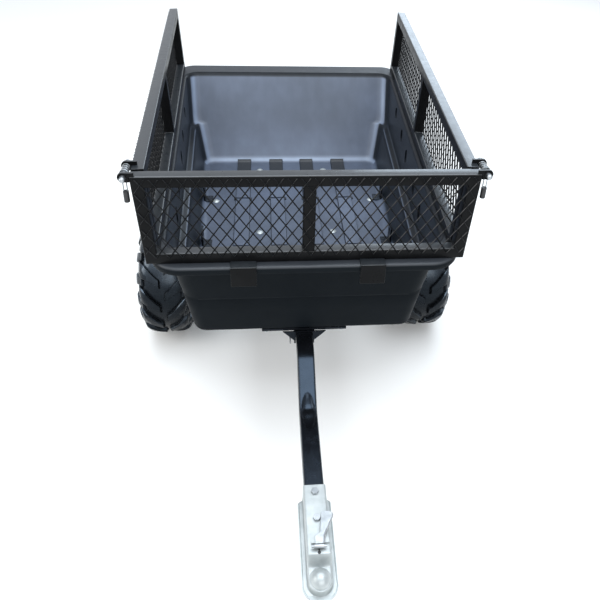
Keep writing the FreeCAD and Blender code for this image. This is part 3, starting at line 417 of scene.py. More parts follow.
def tube(points, radius, sides=10):
    """A round wire along points, with closed ends."""
    loops = []
    previous = None
    for i, point in enumerate(points):
        ahead = points[min(i + 1, len(points) - 1)] - points[max(i - 1, 0)]
        ahead.normalize()
        if previous is None:
            previous = ahead.orthogonal().normalized()
        previous = (previous - ahead * previous.dot(ahead)).normalized()
        across = ahead.cross(previous)
        loops.append([
            point + (previous * math.cos(a) + across * math.sin(a)) * radius
            for a in (2 * math.pi * k / sides for k in range(sides))
        ])
    return capped(loops)


class Heap:
    """Collects many small solids into one mesh."""

    def __init__(self):
        self.verts, self.faces = [], []

    def add(self, verts, faces):
        start = len(self.verts)
        self.verts += list(verts)
        self.faces += [tuple(start + v for v in face) for face in faces]


def block(low, high):
    """Six-sided solid between two corners, for use inside larger pieces."""
    verts = [Vector((x, y, z)) for z in (low[2], high[2])
             for x, y in ((low[0], low[1]), (high[0], low[1]), (high[0], high[1]), (low[0], high[1]))]
    return verts, [(3, 2, 1, 0), (4, 5, 6, 7), (0, 1, 5, 4), (1, 2, 6, 5), (2, 3, 7, 6), (3, 0, 4, 7)]


def slab(outline_points, low, high, lift):
    """Extrudes a plane outline between two distances; lift maps (u, v, distance) to a point."""
    return capped([[lift(u, v, distance) for u, v in outline_points] for distance in (low, high)])


# ------------------------------------------------------------------ camera, light and floor

CAMERA_AT = Vector((-0.1065, -1.8461, 1.8303))
CAMERA_TURN = (7.1, -34.1, 3.0)
CAMERA_LENS = 39.76
CAMERA_SHIFT = (-0.0603, -0.1053)


def make_camera():
    yaw, pitch, roll = (math.radians(a) for a in CAMERA_TURN)
    ahead = Vector((math.sin(yaw) * math.cos(pitch), math.cos(yaw) * math.cos(pitch), math.sin(pitch)))
    right = Vector((math.cos(yaw), -math.sin(yaw), 0))
    up = right.cross(ahead)
    right_rolled = right * math.cos(roll) + up * math.sin(roll)
    up_rolled = up * math.cos(roll) - right * math.sin(roll)
    data = bpy.data.cameras.new("camera")
    data.lens = CAMERA_LENS
    data.sensor_width = 36
    data.shift_x, data.shift_y = CAMERA_SHIFT
    camera = bpy.data.objects.new("camera", data)
    bpy.context.scene.collection.objects.link(camera)
    turn = Matrix((right_rolled, up_rolled, -ahead)).transposed().to_4x4()
    camera.matrix_world = Matrix.Translation(CAMERA_AT) @ turn
    bpy.context.scene.camera = camera


def area_light(name, at, aim, size, power, colour):
    data = bpy.data.lights.new(name, "AREA")
    data.shape = "RECTANGLE"
    data.size, data.size_y = size
    data.energy = power
    data.color = colour
    lamp = bpy.data.objects.new(name, data)
    lamp.location = at
    lamp.rotation_euler = (Vector(aim) - Vector(at)).to_track_quat("-Z", "Y").to_euler()
    bpy.context.scene.collection.objects.link(lamp)


def make_studio():
    """Pale floor, soft sky and large soft panels."""
    scene = bpy.context.scene
    scene.view_settings.view_transform = "Standard"
    world = bpy.data.worlds.new("sky")
    world.use_nodes = True
    world.node_tree.nodes["Background"].inputs["Color"].default_value = (0.90, 0.94, 1.0, 1)
    world.node_tree.nodes["Background"].inputs["Strength"].default_value = 0.85
    scene.world = world
    reach = 30.0
    floor_mesh = bpy.data.meshes.new("floor")
    floor_mesh.from_pydata([(-reach, -reach, 0), (reach, -reach, 0), (reach, reach, 0), (-reach, reach, 0)],
                           [], [(0, 1, 2, 3)])
    floor = bpy.data.objects.new("floor", floor_mesh)
    scene.collection.objects.link(floor)
    made, _, shader = new_material("floor_paint")
    shader.inputs["Roughness"].default_value = 0.9
    shader.inputs["Specular IOR Level"].default_value = 0.1
    shader.inputs["Base Color"].default_value = (0.95, 0.945, 0.92, 1)
    floor_mesh.materials.append(made)
    area_light("overhead", (0.0, -0.4, 4.2), (0, -0.2, 0.4), (4.0, 4.4), 210, (0.86, 0.93, 1.0))
    area_light("rear_panel", (2.3, 5.2, 2.9), (0.2, 0.2, 0.8), (2.6, 2.2), 58, (0.72, 0.86, 1.0))
    area_light("left_panel", (-3.6, -1.2, 2.6), (0, 0.1, 0.5), (2.2, 2.2), 60, (1.0, 0.97, 0.93))
    area_light("front_panel", (0.6, -4.2, 2.6), (0, -0.4, 0.5), (3.4, 2.0), 60, (1.0, 1.0, 1.0))


# ------------------------------------------------------------------ tub

WALL = 0.006
FLOOR_TOP = 0.454
LEDGE = 0.600
MOUTH_FRONT, MOUTH_REAR = 0.068, 1.400
FLOOR_FRONT, FLOOR_REAR = 0.106, 1.190
MOUTH_HALF, SHELF_HALF, LEDGE_HALF, FLOOR_HALF = 0.383, 0.377, 0.352, 0.323
RIM_HALF, RIM_LIP, RIM_AHEAD = 0.417, 0.022, 0.025
CORNER_STEPS = 12
SIDE_STEPS, END_STEPS = 40, 20
CREASE_HEIGHT = 0.585
LEDGE_FADE = (0.130, 0.300)


def side_points(start, end, count):
    """Points between two corners, neither corner included."""
    return [start.lerp(end, i / count) for i in range(1, count)]


def plan_ring(height, half, front, rear, radii):
    """Tapered rounded outline at one height; every ring has the same number of points."""
    half_front, half_rear = half + TAPER * front, half + TAPER * rear
    corners = [Vector((-half_front, bed(front))), Vector((half_front, bed(front))),
               Vector((half_rear, bed(rear))), Vector((-half_rear, bed(rear)))]
    rounds = [radii[0], radii[0], radii[1], radii[1]]
    arcs = []
    for i, corner in enumerate(corners):
        back = (corners[i - 1] - corner).normalized()
        ahead = (corners[(i + 1) % 4] - corner).normalized()
        half_angle = back.angle(ahead) / 2
        centre = corner + (back + ahead).normalized() * rounds[i] / math.sin(half_angle)
        start = corner + back * rounds[i] / math.tan(half_angle) - centre
        end = corner + ahead * rounds[i] / math.tan(half_angle) - centre
        swing = math.atan2(start.x * end.y - start.y * end.x, start.dot(end))
        points = []
        for k in range(CORNER_STEPS + 1):
            turn = Matrix.Rotation(swing * k / CORNER_STEPS, 2)
            points.append(centre + turn @ start)
        arcs.append(points)
    ring = []
    for i, points in enumerate(arcs):
        ring += points
        count = SIDE_STEPS if i % 2 else END_STEPS
        ring += side_points(points[-1], arcs[(i + 1) % 4][0], count)
    return [Vector((p.x, p.y, height)) for p in ring]


def smooth_between(value, low, high):
    """0 below low, 1 above high and a smooth step between them."""
    t = min(max((value - low) / (high - low), 0.0), 1.0)
    return t * t * (3 - 2 * t)


def mix(low, high, t):
    """Straight blend of two values."""
    return low + (high - low) * t


def slim_front(ring, half):
    """Above the ledge the sides step out; towards the front wall that step dies away."""
    height = ring[0].z
    straight = mix(FLOOR_HALF, MOUTH_HALF, (height - FLOOR_TOP) / (RIM_TOP - FLOOR_TOP))
    step = max(half - straight, 0.0)
    for point in ring:
        station = point.y - BED_FRONT
        fade = 1 - smooth_between(station, LEDGE_FADE[0], LEDGE_FADE[1])
        share = smooth_between(abs(point.x), 0.20, 0.33)
        point.x -= math.copysign(step * fade * share, point.x)
    return ring


def inner_ring(height, shrink=0.0):
    """The tub's inside at a height, moved inwards by shrink."""
    share = (height - FLOOR_TOP) / (RIM_TOP - FLOOR_TOP)
    front = mix(FLOOR_FRONT, MOUTH_FRONT, share)
    rear = mix(FLOOR_REAR, MOUTH_REAR, share)
    if height < LEDGE:
        half = mix(FLOOR_HALF, LEDGE_HALF, (height - FLOOR_TOP) / (LEDGE - FLOOR_TOP))
    else:
        half = mix(SHELF_HALF, MOUTH_HALF, (height - LEDGE) / (RIM_TOP - LEDGE))
    radii = (mix(0.036, 0.060, share) - shrink, mix(0.046, 0.052, share) - shrink)
    front_half = half - shrink - TAPER * shrink
    ring = plan_ring(height, front_half, front + shrink, rear - shrink, [max(r, 0.004) for r in radii])
    return slim_front(ring, half)


def ledge_rings(grow):
    """The long ledge along both sides, with a soft nose and root; it fades out towards the front."""
    rings = []
    for lift, share in ((-0.0075, 0.02), (-0.0045, 0.10), (-0.0022, 0.30), (0.0, 0.5),
                        (0.0022, 0.70), (0.0045, 0.90), (0.0075, 0.98)):
        height = LEDGE + lift
        level = (height - FLOOR_TOP) / (RIM_TOP - FLOOR_TOP)
        half = mix(LEDGE_HALF, SHELF_HALF, share)
        ring = plan_ring(height, half + grow, mix(FLOOR_FRONT, MOUTH_FRONT, level) - grow,
                         mix(FLOOR_REAR, MOUTH_REAR, level) + grow, (0.050 + grow, 0.050 + grow))
        rings.append(slim_front(ring, half))
    return rings


def make_tub(paint):
    """One skin: floor, base fillet, stepped walls, rolled rim and lip, then the outside down to the belly."""
    base = 0.024
    rings = []
    for i in range(7):
        angle = math.radians(90 * i / 6)
        height = FLOOR_TOP + base * (1 - math.cos(angle))
        rings.append(inner_ring(height, shrink=base * (1 - math.sin(angle))))
    rings.append(inner_ring(0.520))
    rings.append(inner_ring(0.575))
    rings += ledge_rings(0.0)
    for height in (0.625, 0.660, 0.700, 0.740, 0.764):
        rings.append(inner_ring(height))
    lip = 0.010
    for i in range(1, 6):
        angle = math.radians(90 * i / 5)
        height = RIM_TOP - lip * (1 - math.sin(angle))
        rings.append(inner_ring(height, shrink=-lip * (1 - math.cos(angle))))
    inside_count = len(rings)
    rim_rear = TUB_REAR - BED_FRONT
    edge = 0.009

    def rim_ring(height, inset):
        return plan_ring(height, RIM_HALF - inset, -RIM_AHEAD + inset, rim_rear - inset,
                         (0.085 - inset, 0.065 - inset))

    rings.append(rim_ring(RIM_TOP - 0.0004, 0.024))
    rings.append(rim_ring(RIM_TOP, 0.016))
    for i in range(6):
        angle = math.radians(90 * i / 5)
        rings.append(rim_ring(RIM_TOP - edge * (1 - math.cos(angle)), edge * (1 - math.sin(angle))))
    rings.append(rim_ring(RIM_TOP - RIM_LIP + 0.003, 0.0))
    rings.append(rim_ring(RIM_TOP - RIM_LIP, 0.0018))
    rings.append(rim_ring(RIM_TOP - RIM_LIP, 0.0036))
    rings.append(rim_ring(RIM_TOP - RIM_LIP + 0.003, 0.005))
    rings.append(rim_ring(RIM_TOP - WALL - 0.004, 0.006))
    rings.append(rim_ring(RIM_TOP - WALL, 0.010))
    rings.append(inner_ring(RIM_TOP - WALL, shrink=-WALL - 0.006))
    rings.append(inner_ring(RIM_TOP - WALL - 0.006, shrink=-WALL))
    for height in (0.740, 0.700, 0.660, 0.625):
        rings.append(inner_ring(height, shrink=-WALL))
    rings += ledge_rings(WALL)[::-1]
    for above, groove in ((0.002, 0.0), (0.0, 0.0028), (-0.002, 0.0028), (-0.006, 0.0008), (-0.045, 0.0)):
        rings.append(inner_ring(CREASE_HEIGHT + above, shrink=-WALL + groove))
    belly = FLOOR_TOP - WALL
    nose = 0.012
    for i in range(6):
        angle = math.radians(90 * i / 5)
        height = belly + nose * (1 - math.sin(angle))
        rings.append(inner_ring(height, shrink=-WALL + nose * (1 - math.cos(angle))))
    verts = [v for ring in rings for v in ring]
    faces = bridge(rings)
    count = len(rings[0])
    indices = [0 if i // count < inside_count - 1 else 1 for i in range(len(faces))]
    faces.append(tuple(range(count))[::-1])
    indices.append(0)
    faces.append(tuple(range(len(verts) - count, len(verts))))
    indices.append(1)
    mesh = bpy.data.meshes.new("tub")
    mesh.from_pydata([tuple(v) for v in verts], [], faces)
    looks = [paint["tub_inside"], paint["tub_outside"]]
    for look in looks:
        mesh.materials.append(look)
    mesh.polygons.foreach_set("material_index", indices)
    thing = bpy.data.objects.new("tub", mesh)
    bpy.context.scene.collection.objects.link(thing)
    press_slots(thing)
    mesh = thing.data
    indices = [face.material_index for face in mesh.polygons]
    # Per-vertex painted sheen: painted reflection, painted highlights and painted shade for the inside
    # material.
    painted_sheen = mesh.attributes.new("painted_sheen", "FLOAT", "POINT")
    painted_sheen.data.foreach_set("value", [painted_sheen_at(vert.co) for vert in mesh.vertices])
    dress(thing, looks, "tub", ("tub_shell",), crease=50, indices=indices)


# Slots pressed in the upper side walls: station, top and foot.
SIDE_SLOTS = ((1.085, 0.754, 0.709), (0.905, 0.739, 0.690), (0.765, 0.722, 0.668), (0.560, 0.712, 0.650),
              (0.417, 0.700, 0.628))
SLOT_WIDTH, SLOT_DEPTH = 0.038, 0.0050


def press_slots(thing):
    """Cuts shallow round-topped slots in the inner faces of both side walls."""
    heap = Heap()
    half_width = SLOT_WIDTH / 2
    for station, top, foot in SIDE_SLOTS:
        path = arc((station, top - half_width), half_width, 0, 180, 8)
        path += arc((station, foot + half_width), half_width, 180, 360, 8)
        middle = (top + foot) / 2
        face = mix(SHELF_HALF, MOUTH_HALF, (middle - LEDGE) / (RIM_TOP - LEDGE)) + TAPER * station
        for side in (-1, 1):
            loops = []
            for out in (-0.02, SLOT_DEPTH):
                loops.append([Vector((side * (face + out), bed(y), z)) for y, z in path])
            verts, faces = capped(loops)
            if side < 0:
                faces = [corners[::-1] for corners in faces]
            heap.add(verts, faces)
    tool_mesh = bpy.data.meshes.new("slot_tool")
    tool_mesh.from_pydata([tuple(v) for v in heap.verts], [], heap.faces)
    outwards(tool_mesh)
    tool = bpy.data.objects.new("slot_tool", tool_mesh)
    bpy.context.scene.collection.objects.link(tool)
    outwards(thing.data)
    cutting = thing.modifiers.new("slots", "BOOLEAN")
    cutting.operation = "DIFFERENCE"
    cutting.object = tool
    cutting.solver = "EXACT"
    bpy.context.view_layer.update()
    shaped = bpy.data.meshes.new_from_object(thing.evaluated_get(bpy.context.evaluated_depsgraph_get()))
    thing.modifiers.clear()
    thing.data = shaped
    bpy.data.objects.remove(tool)


# Reach of the painted highlights on the rear corner and base fillets; painted sheen levels of floor and side
# walls.
CORNER_REACH, BASE_REACH = 0.052, 0.026
FLOOR_PAINTED_SHEEN, SIDE_PAINTED_SHEEN = 0.44, 0.10


def bell(value, centre, width):
    """A smooth hump that is 1 at the centre."""
    return math.exp(-((value - centre) / width) ** 2)


def painted_sheen_at(point):
    """Painted sheen and shade: pale floor, rear wall and fillets, ledge highlights, dark walls and slots."""
    share = (point.z - FLOOR_TOP) / (RIM_TOP - FLOOR_TOP)
    station = point.y - BED_FRONT
    if point.z < LEDGE:
        half = mix(FLOOR_HALF, LEDGE_HALF, (point.z - FLOOR_TOP) / (LEDGE - FLOOR_TOP))
    else:
        half = mix(SHELF_HALF, MOUTH_HALF, (point.z - LEDGE) / (RIM_TOP - LEDGE))
    side = max(half + TAPER * station - abs(point.x), 0.0)
    back = max(mix(FLOOR_REAR, MOUTH_REAR, share) - station, 0.0) * 0.84
    low = point.z - FLOOR_TOP
    # Inside the pressed slots: painted shade, near black.
    if LEDGE + 0.012 < point.z < RIM_TOP - 0.016 and abs(point.x) > half + TAPER * station + 0.0012:
        return 0.0
    # Rear wall: painted reflection of the sky, a little paler low down.
    rear_wall = mix(0.53, 0.455, smooth_between(share, 0.02, 0.62))
    value = SIDE_PAINTED_SHEEN
    # Rear corner fillets: a painted highlight band.
    if back < CORNER_REACH and side < CORNER_REACH:
        turn = side / (side + back + 0.000001)
        value = mix(SIDE_PAINTED_SHEEN, 0.78, smooth_between(turn, 0.34, 0.62))
        value = mix(value, rear_wall, smooth_between(turn, 0.80, 0.97))
    elif back < 0.03:
        value = rear_wall
    # Along the ledge: two painted highlight lines, below and above its edge.
    elif abs(point.z - LEDGE) < 0.009 and station > LEDGE_FADE[0]:
        lift = point.z - LEDGE
        value = 0.02 + 0.50 * bell(lift, -0.0045, 0.0012) + 0.24 * bell(lift, 0.0045, 0.0012)
    # Base fillet: painted highlight, brightest at the foot of the rear wall; the floor keeps its painted
    # sheen.
    if low < BASE_REACH:
        rise = low / BASE_REACH
        if back < 0.032:
            foot = mix(FLOOR_PAINTED_SHEEN, 0.86, smooth_between(rise, 0.05, 0.3))
            value = mix(foot, value, smooth_between(rise, 0.4, 0.8))
        else:
            value = mix(FLOOR_PAINTED_SHEEN + 0.05, value, smooth_between(rise, 0.25, 0.9))
        if rise < 0.01:
            value = FLOOR_PAINTED_SHEEN
    # Near the rim top the painted sheen fades to near black.
    return mix(value, 0.04, smooth_between(point.z, RIM_TOP - 0.016, RIM_TOP - 0.008))


RIB_WIDTH, RIB_HEIGHT, NOTCH_HALF = 0.058, 0.007, 0.006
RIB_RUNS = ((0.540, 0.862, False), (0.874, 1.166, True))
RIB_SECTION = ((-0.5, -0.3), (-0.49, 0.75), (-0.465, 1.0), (0.465, 1.0), (0.49, 0.75), (0.5, -0.3))
RIB_CENTRES = (-0.203, -0.066, 0.066, 0.203)


def rib_path(start, end, climbs):
    """Floor points of a rib, which may follow the fillet some way up the rear wall."""
    path = [Vector((start, FLOOR_TOP)), Vector((mix(start, end, 0.74), FLOOR_TOP)), Vector((end, FLOOR_TOP))]
    if climbs:
        path.append(Vector((end + 0.008, FLOOR_TOP + 0.003)))
        path.append(Vector((end + 0.014, FLOOR_TOP + 0.007)))
        path.append(Vector((end + 0.019, FLOOR_TOP + 0.013)))
    return path


def make_ribs(paint):
    """Floor ribs in two runs; the rear run ends in blocks that climb the foot of the rear wall.

    Rib sides, notch blocks and climbing ends take the darker copy of the plastic: painted shade.
    """
    heap = Heap()
    indices = []
    for centre in RIB_CENTRES:
        for start, end, climbs in RIB_RUNS:
            path = rib_path(bed(start), bed(end), climbs)
            loops = []
            for i, point in enumerate(path):
                ahead = (path[min(i + 1, len(path) - 1)] - path[max(i - 1, 0)]).normalized()
                normal = Vector((-ahead.y, ahead.x))
                section = []
                for across, lift in RIB_SECTION:
                    at = point + normal * RIB_HEIGHT * lift
                    section.append(Vector((centre + across * RIB_WIDTH, at.x, at.y)))
                loops.append(section)
            for row in range(len(loops) - 1):
                # Rib sides and climbing ends take the painted shade copy; rib tops take the sheen-painted
                # inside.
                indices += [1, 1, 1 if climbs and row >= 1 else 0, 1, 1, 1]
            indices += [0, 1 if climbs else 0]
            heap.add(*capped(loops))
        # Dark blocks in the gap between runs: painted shade of the notches.
        for side in (-1, 1):
            x = centre + side * RIB_WIDTH / 2
            top = FLOOR_TOP + RIB_HEIGHT * 0.6
            near, far = bed(RIB_RUNS[0][1] - 0.001), bed(RIB_RUNS[1][0] + 0.001)
            heap.add(*block((x - NOTCH_HALF, near, FLOOR_TOP - 0.001), (x + NOTCH_HALF, far, top)))
            indices += [1] * 6
    looks = [paint["tub_inside"], paint["tub_painted_shade"]]
    thing = piece("floor_ribs", heap.verts, heap.faces, looks, "tub", crease=30, indices=indices)
    # Rib tops carry the painted sheen of the floor.
    painted_sheen = thing.data.attributes.new("painted_sheen", "FLOAT", "POINT")
    painted_sheen.data.foreach_set("value", [FLOOR_PAINTED_SHEEN + 0.03] * len(thing.data.vertices))
    add_bevel(thing, 0.0010)


# ------------------------------------------------------------------ tyres and wheels

TYRE_RADIUS = (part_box("tyre_right")[1].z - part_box("tyre_right")[0].z) / 2
TYRE_HALF = (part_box("tyre_right")[1].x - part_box("tyre_right")[0].x) / 2
BEAD = 0.101
LUGS = 14
LUG_HEIGHT = 0.0150
TYRE_SEGMENTS = 120


def tread_curve():
    """Carcass cross-section from the crown to the bead, as (distance from the middle, radius)."""
    base = TYRE_RADIUS - LUG_HEIGHT
    half = TYRE_HALF - 0.0087
    points = [(0.0, base), (0.022, base - 0.0006), (0.044, base - 0.003), (0.062, base - 0.008)]
    points += [(half - 0.0185, base - 0.0165), (half - 0.0075, base - 0.030), (half - 0.0018, base - 0.046)]
    points += [(half, base - 0.062), (half - 0.002, base - 0.080), (half - 0.008, base - 0.098)]
    points += [(half - 0.012, BEAD + 0.010), (half - 0.013, BEAD)]
    return points


def curve_at(curve, distance):
    """Point and outward normal at a distance along a polyline."""
    for (x0, r0), (x1, r1) in zip(curve, curve[1:]):
        length = math.hypot(x1 - x0, r1 - r0)
        if distance <= length:
            share = distance / length
            along = Vector((x1 - x0, r1 - r0)) / length
            return Vector((mix(x0, x1, share), mix(r0, r1, share))), Vector((-along.y, along.x))
        distance -= length
    return Vector(curve[-1]), Vector((1, 0))


def finer(curve, steps):
    """Catmull-Rom curve through the points."""
    points = [Vector(p) for p in curve]
    out = []
    for i in range(len(points) - 1):
        before = points[max(i - 1, 0)]
        after = points[min(i + 2, len(points) - 1)]
        start, end = points[i], points[i + 1]
        for k in range(steps):
            t = k / steps
            second = 2 * before - 5 * start + 4 * end - after
            third = 3 * start - before - 3 * end + after
            out.append(0.5 * ((2 * start) + (end - before) * t + second * t * t + third * t * t * t))
    out.append(points[-1])
    return [(p.x, p.y) for p in out]


def lug(curve, centre, hand, start_angle, reach, sweep, widths, height):
    """One tread lug: a slanting bar between two distances from the crown, on one side of it."""
    rows = 14
    loops = []
    for i in range(rows + 1):
        t = i / rows
        distance = mix(reach[0], reach[1], t)
        bend = sweep * t
        width = mix(widths[0], widths[1], smooth_between(t, 0.15, 0.75))
        rise = height * (1 - 0.42 * smooth_between(t, 0.66, 1.0))
        row = []
        section = [(-0.56, -0.25), (-0.52, 0.45), (-0.48, 0.86), (-0.42, 1.0), (0.0, 1.02), (0.42, 1.0),
                   (0.48, 0.86), (0.52, 0.45), (0.56, -0.25)]
        for across, lift in section:
            if i in (0, rows):
                lift = min(lift, 0.35)
            spot, normal = curve_at(curve, distance + (0.002 if i == 0 else 0.0))
            spot = spot + normal * (rise * lift)
            angle = start_angle + (bend + across * width) / TYRE_RADIUS
            row.append(Vector((
                centre.x + hand * spot.x,
                centre.y + spot.y * math.cos(angle),
                centre.z + spot.y * math.sin(angle),
            )))
        loops.append(row)
    return capped(loops)


def make_tyre(paint, name, side):
    """A tyre carcass turned about the axle, with a ring of lugs and shoulder lugs each side."""
    centre = Vector((AXLE.x * side, AXLE.y, AXLE.z))
    half_curve = finer(tread_curve(), 4)
    outer = [(-x, r) for x, r in half_curve[::-1]] + half_curve[1:]
    inner = [(x * 0.93, max(r - 0.014, BEAD)) for x, r in outer[::-1] if r > BEAD + 0.006]
    verts, faces = revolve(outer + inner, centre, TYRE_SEGMENTS)
    heap = Heap()
    heap.add(verts, faces)
    for i in range(LUGS):
        for hand in (-1, 1):
            turn = 2 * math.pi * (i + (0.5 if hand > 0 else 0.0)) / LUGS
            heap.add(*lug(half_curve, centre, hand, turn, (0.005, 0.092), -0.078, (0.030, 0.058), LUG_HEIGHT))
            beside = turn + math.pi / LUGS - 0.062 / TYRE_RADIUS
            heap.add(*lug(half_curve, centre, hand, beside, (0.064, 0.124), -0.020, (0.034, 0.050),
                          LUG_HEIGHT * 0.7))
    piece("tyre_tread_" + name, heap.verts, heap.faces, paint["tyre_rubber"], "road_wheel_" + name,
          ("tyre_" + name,), crease=40)


def make_wheel_parts(paint, name):
    """Hub, nuts, cap, valve and bearings of one wheel, from their CAD solids with softened edges."""
    for node, finish, width in (
        ("wheel", "silver_paint", 0.0008), ("hub", "steel", 0.0008), ("lug_nuts", "zinc", 0.0008),
        ("dust_cap", "black_plastic", 0.0015), ("valve_stem", "tyre_rubber", 0.0012),
        ("bearings", "steel", 0.0005),
    ):
        softened(f"{node}_{name}", paint[finish], width)


# ------------------------------------------------------------------ rails

FOOT_HALF, HEAD_HALF = 0.424, 0.436
RAIL_TUBE = 0.032
RAIL_GAP = 0.0004
MESH_WIDE, MESH_TALL = 0.0335, 0.048
STRAND_WIDTH, SIDE_STRAND_WIDTH, STRAND_THICK = 0.0032, 0.0050, 0.0018


def clip_to_region(start, end, region):
    """Part of a segment inside a convex outline, or None."""
    low, high = 0.0, 1.0
    run = end - start
    for i, corner in enumerate(region):
        side = region[(i + 1) % len(region)] - corner
        inward = Vector((-side.y, side.x))
        distance = inward.dot(start - corner)
        speed = inward.dot(run)
        if abs(speed) < 1e-12:
            if distance < 0:
                return None
            continue
        at = -distance / speed
        if speed > 0:
            low = max(low, at)
        else:
            high = min(high, at)
    if high - low < 0.04:
        return None
    return start + run * low, start + run * high


def flat_bar(start, end, wide, thick, tilt, place):
    """A short flat strand in the sheet's plane, twisted about its own length."""
    along = (end - start).normalized()
    across = Vector((-along.y, along.x, 0)) * math.cos(tilt) + Vector((0, 0, 1)) * math.sin(tilt)
    out = Vector((along.x, along.y, 0)).cross(across)
    verts = []
    for tip in (start, end):
        for u, w in ((-1, -1), (1, -1), (1, 1), (-1, 1)):
            local = Vector((tip.x, tip.y, 0)) + across * (u * wide / 2) + out * (w * thick / 2)
            verts.append(place @ local)
    return verts, [(0, 1, 5, 4), (1, 2, 6, 5), (2, 3, 7, 6), (3, 0, 4, 7), (3, 2, 1, 0), (4, 5, 6, 7)]


def expanded_sheet(name, region, place, paint, node, width=STRAND_WIDTH):
    """Expanded metal: twisted strands between the bonds of a diamond lattice."""
    heap = Heap()
    corners = [Vector(p) for p in region]
    low = Vector((min(p.x for p in corners), min(p.y for p in corners)))
    high = Vector((max(p.x for p in corners), max(p.y for p in corners)))
    rows = int((high.y - low.y) / (MESH_TALL / 2)) + 2
    columns = int((high.x - low.x) / MESH_WIDE) + 2
    for row in range(-1, rows):
        for column in range(-1, columns):
            x = low.x + (column + 0.5 * (row % 2)) * MESH_WIDE
            y = low.y + row * MESH_TALL / 2
            bond = Vector((x, y))
            for hand in (-1, 1):
                far = Vector((x + hand * MESH_WIDE / 2, y + MESH_TALL / 2))
                kept = clip_to_region(bond, far, corners)
                if kept:
                    stretch = (kept[1] - kept[0]).normalized() * 0.0006
                    heap.add(*flat_bar(kept[0] - stretch, kept[1] + stretch, width, STRAND_THICK,
                                       math.radians(34) * hand, place))
    piece(name, heap.verts, heap.faces, paint["powder"], "rail_kit", (node,), crease=30)


def front_place():
    """Front rail plane: local X across it, Y up it, Z forwards."""
    return Matrix(((1, 0, 0, 0), (0, 0, -1, bed(0)), (0, 1, 0, RIM_TOP), (0, 0, 0, 1)))


def side_place():
    """Right rail plane: local X along it, Y up it, Z outwards."""
    yaw = math.atan(TAPER)
    lean = math.atan((HEAD_HALF - FOOT_HALF) / RAIL_HEIGHT)
    along = Vector((math.sin(yaw), math.cos(yaw), 0))
    outward = Vector((math.cos(yaw), -math.sin(yaw), 0))
    up = Vector((0, 0, math.cos(lean))) + outward * math.sin(lean)
    normal = along.cross(up)
    start = RAIL_TUBE + 0.006
    corner = Vector((FOOT_HALF + TAPER * start, bed(start), RIM_TOP))
    return Matrix((
        (along.x, up.x, normal.x, corner.x), (along.y, up.y, normal.y, corner.y),
        (along.z, up.z, normal.z, corner.z), (0, 0, 0, 1)))


def rail_bar(start, end, cut_start, cut_end, place, half=RAIL_TUBE / 2, corner=0.0032):
    """Square tube with rounded edges between two points of a rail's plane.

    Each end is cut along a direction in that plane, so that neighbours meet in a mitre or a butt joint.
    """
    along = (end - start).normalized()
    across = Vector((-along.y, along.x))
    section = []
    for u, w, first in ((1, -1, -90), (1, 1, 0), (-1, 1, 90), (-1, -1, 180)):
        for x, y in arc((u * (half - corner), w * (half - corner)), corner, first, first + 90, 4):
            section.append((x, y))
    loops = []
    for tip, cut in ((start, cut_start), (end, cut_end)):
        loop = []
        for u, w in section:
            slide = 0.0
            if cut is not None:
                slide = u * cut.dot(along) / cut.dot(across)
            at = tip + across * u + along * slide
            loop.append(place @ Vector((at.x, at.y, w - half)))
        loops.append(loop)
    return capped(loops)


def rail_frame(name, outer, posts, place, paint, node):
    """Four mitred bars and the upright posts between them, with a weld bead at each end of each post."""
    heap = Heap()
    half = RAIL_TUBE / 2
    corners = [Vector(p) for p in outer]
    mitres, centres = [], []
    for i, corner in enumerate(corners):
        back = (corners[i - 1] - corner).normalized()
        ahead = (corners[(i + 1) % 4] - corner).normalized()
        inward = (back + ahead).normalized()
        mitres.append(inward)
        centres.append(corner + inward * half / math.sin(back.angle(ahead) / 2))
    for i in range(4):
        j = (i + 1) % 4
        heap.add(*rail_bar(centres[i], centres[j], mitres[i], mitres[j], place))
    low = corners[0].y + RAIL_TUBE
    high = corners[2].y - RAIL_TUBE
    for x in posts:
        heap.add(*rail_bar(Vector((x, low - 0.0005)), Vector((x, high + 0.0005)), None, None, place))
        for y in (low, high):
            for side in (-1, 1):
                beads = [Vector((x + side * half * 0.96, y + math.copysign(0.0005, low + high - 2 * y),
                                 -RAIL_TUBE + 0.002 + RAIL_TUBE * 0.9 * k / 8)) for k in range(9)]
                for k, bead in enumerate(beads):
                    bead.x += side * 0.0004 * (k % 2)
                heap.add(*tube([place @ b for b in beads], 0.0022, 6))
    piece(name, heap.verts, heap.faces, paint["powder"], "rail_kit", (node,), crease=40)


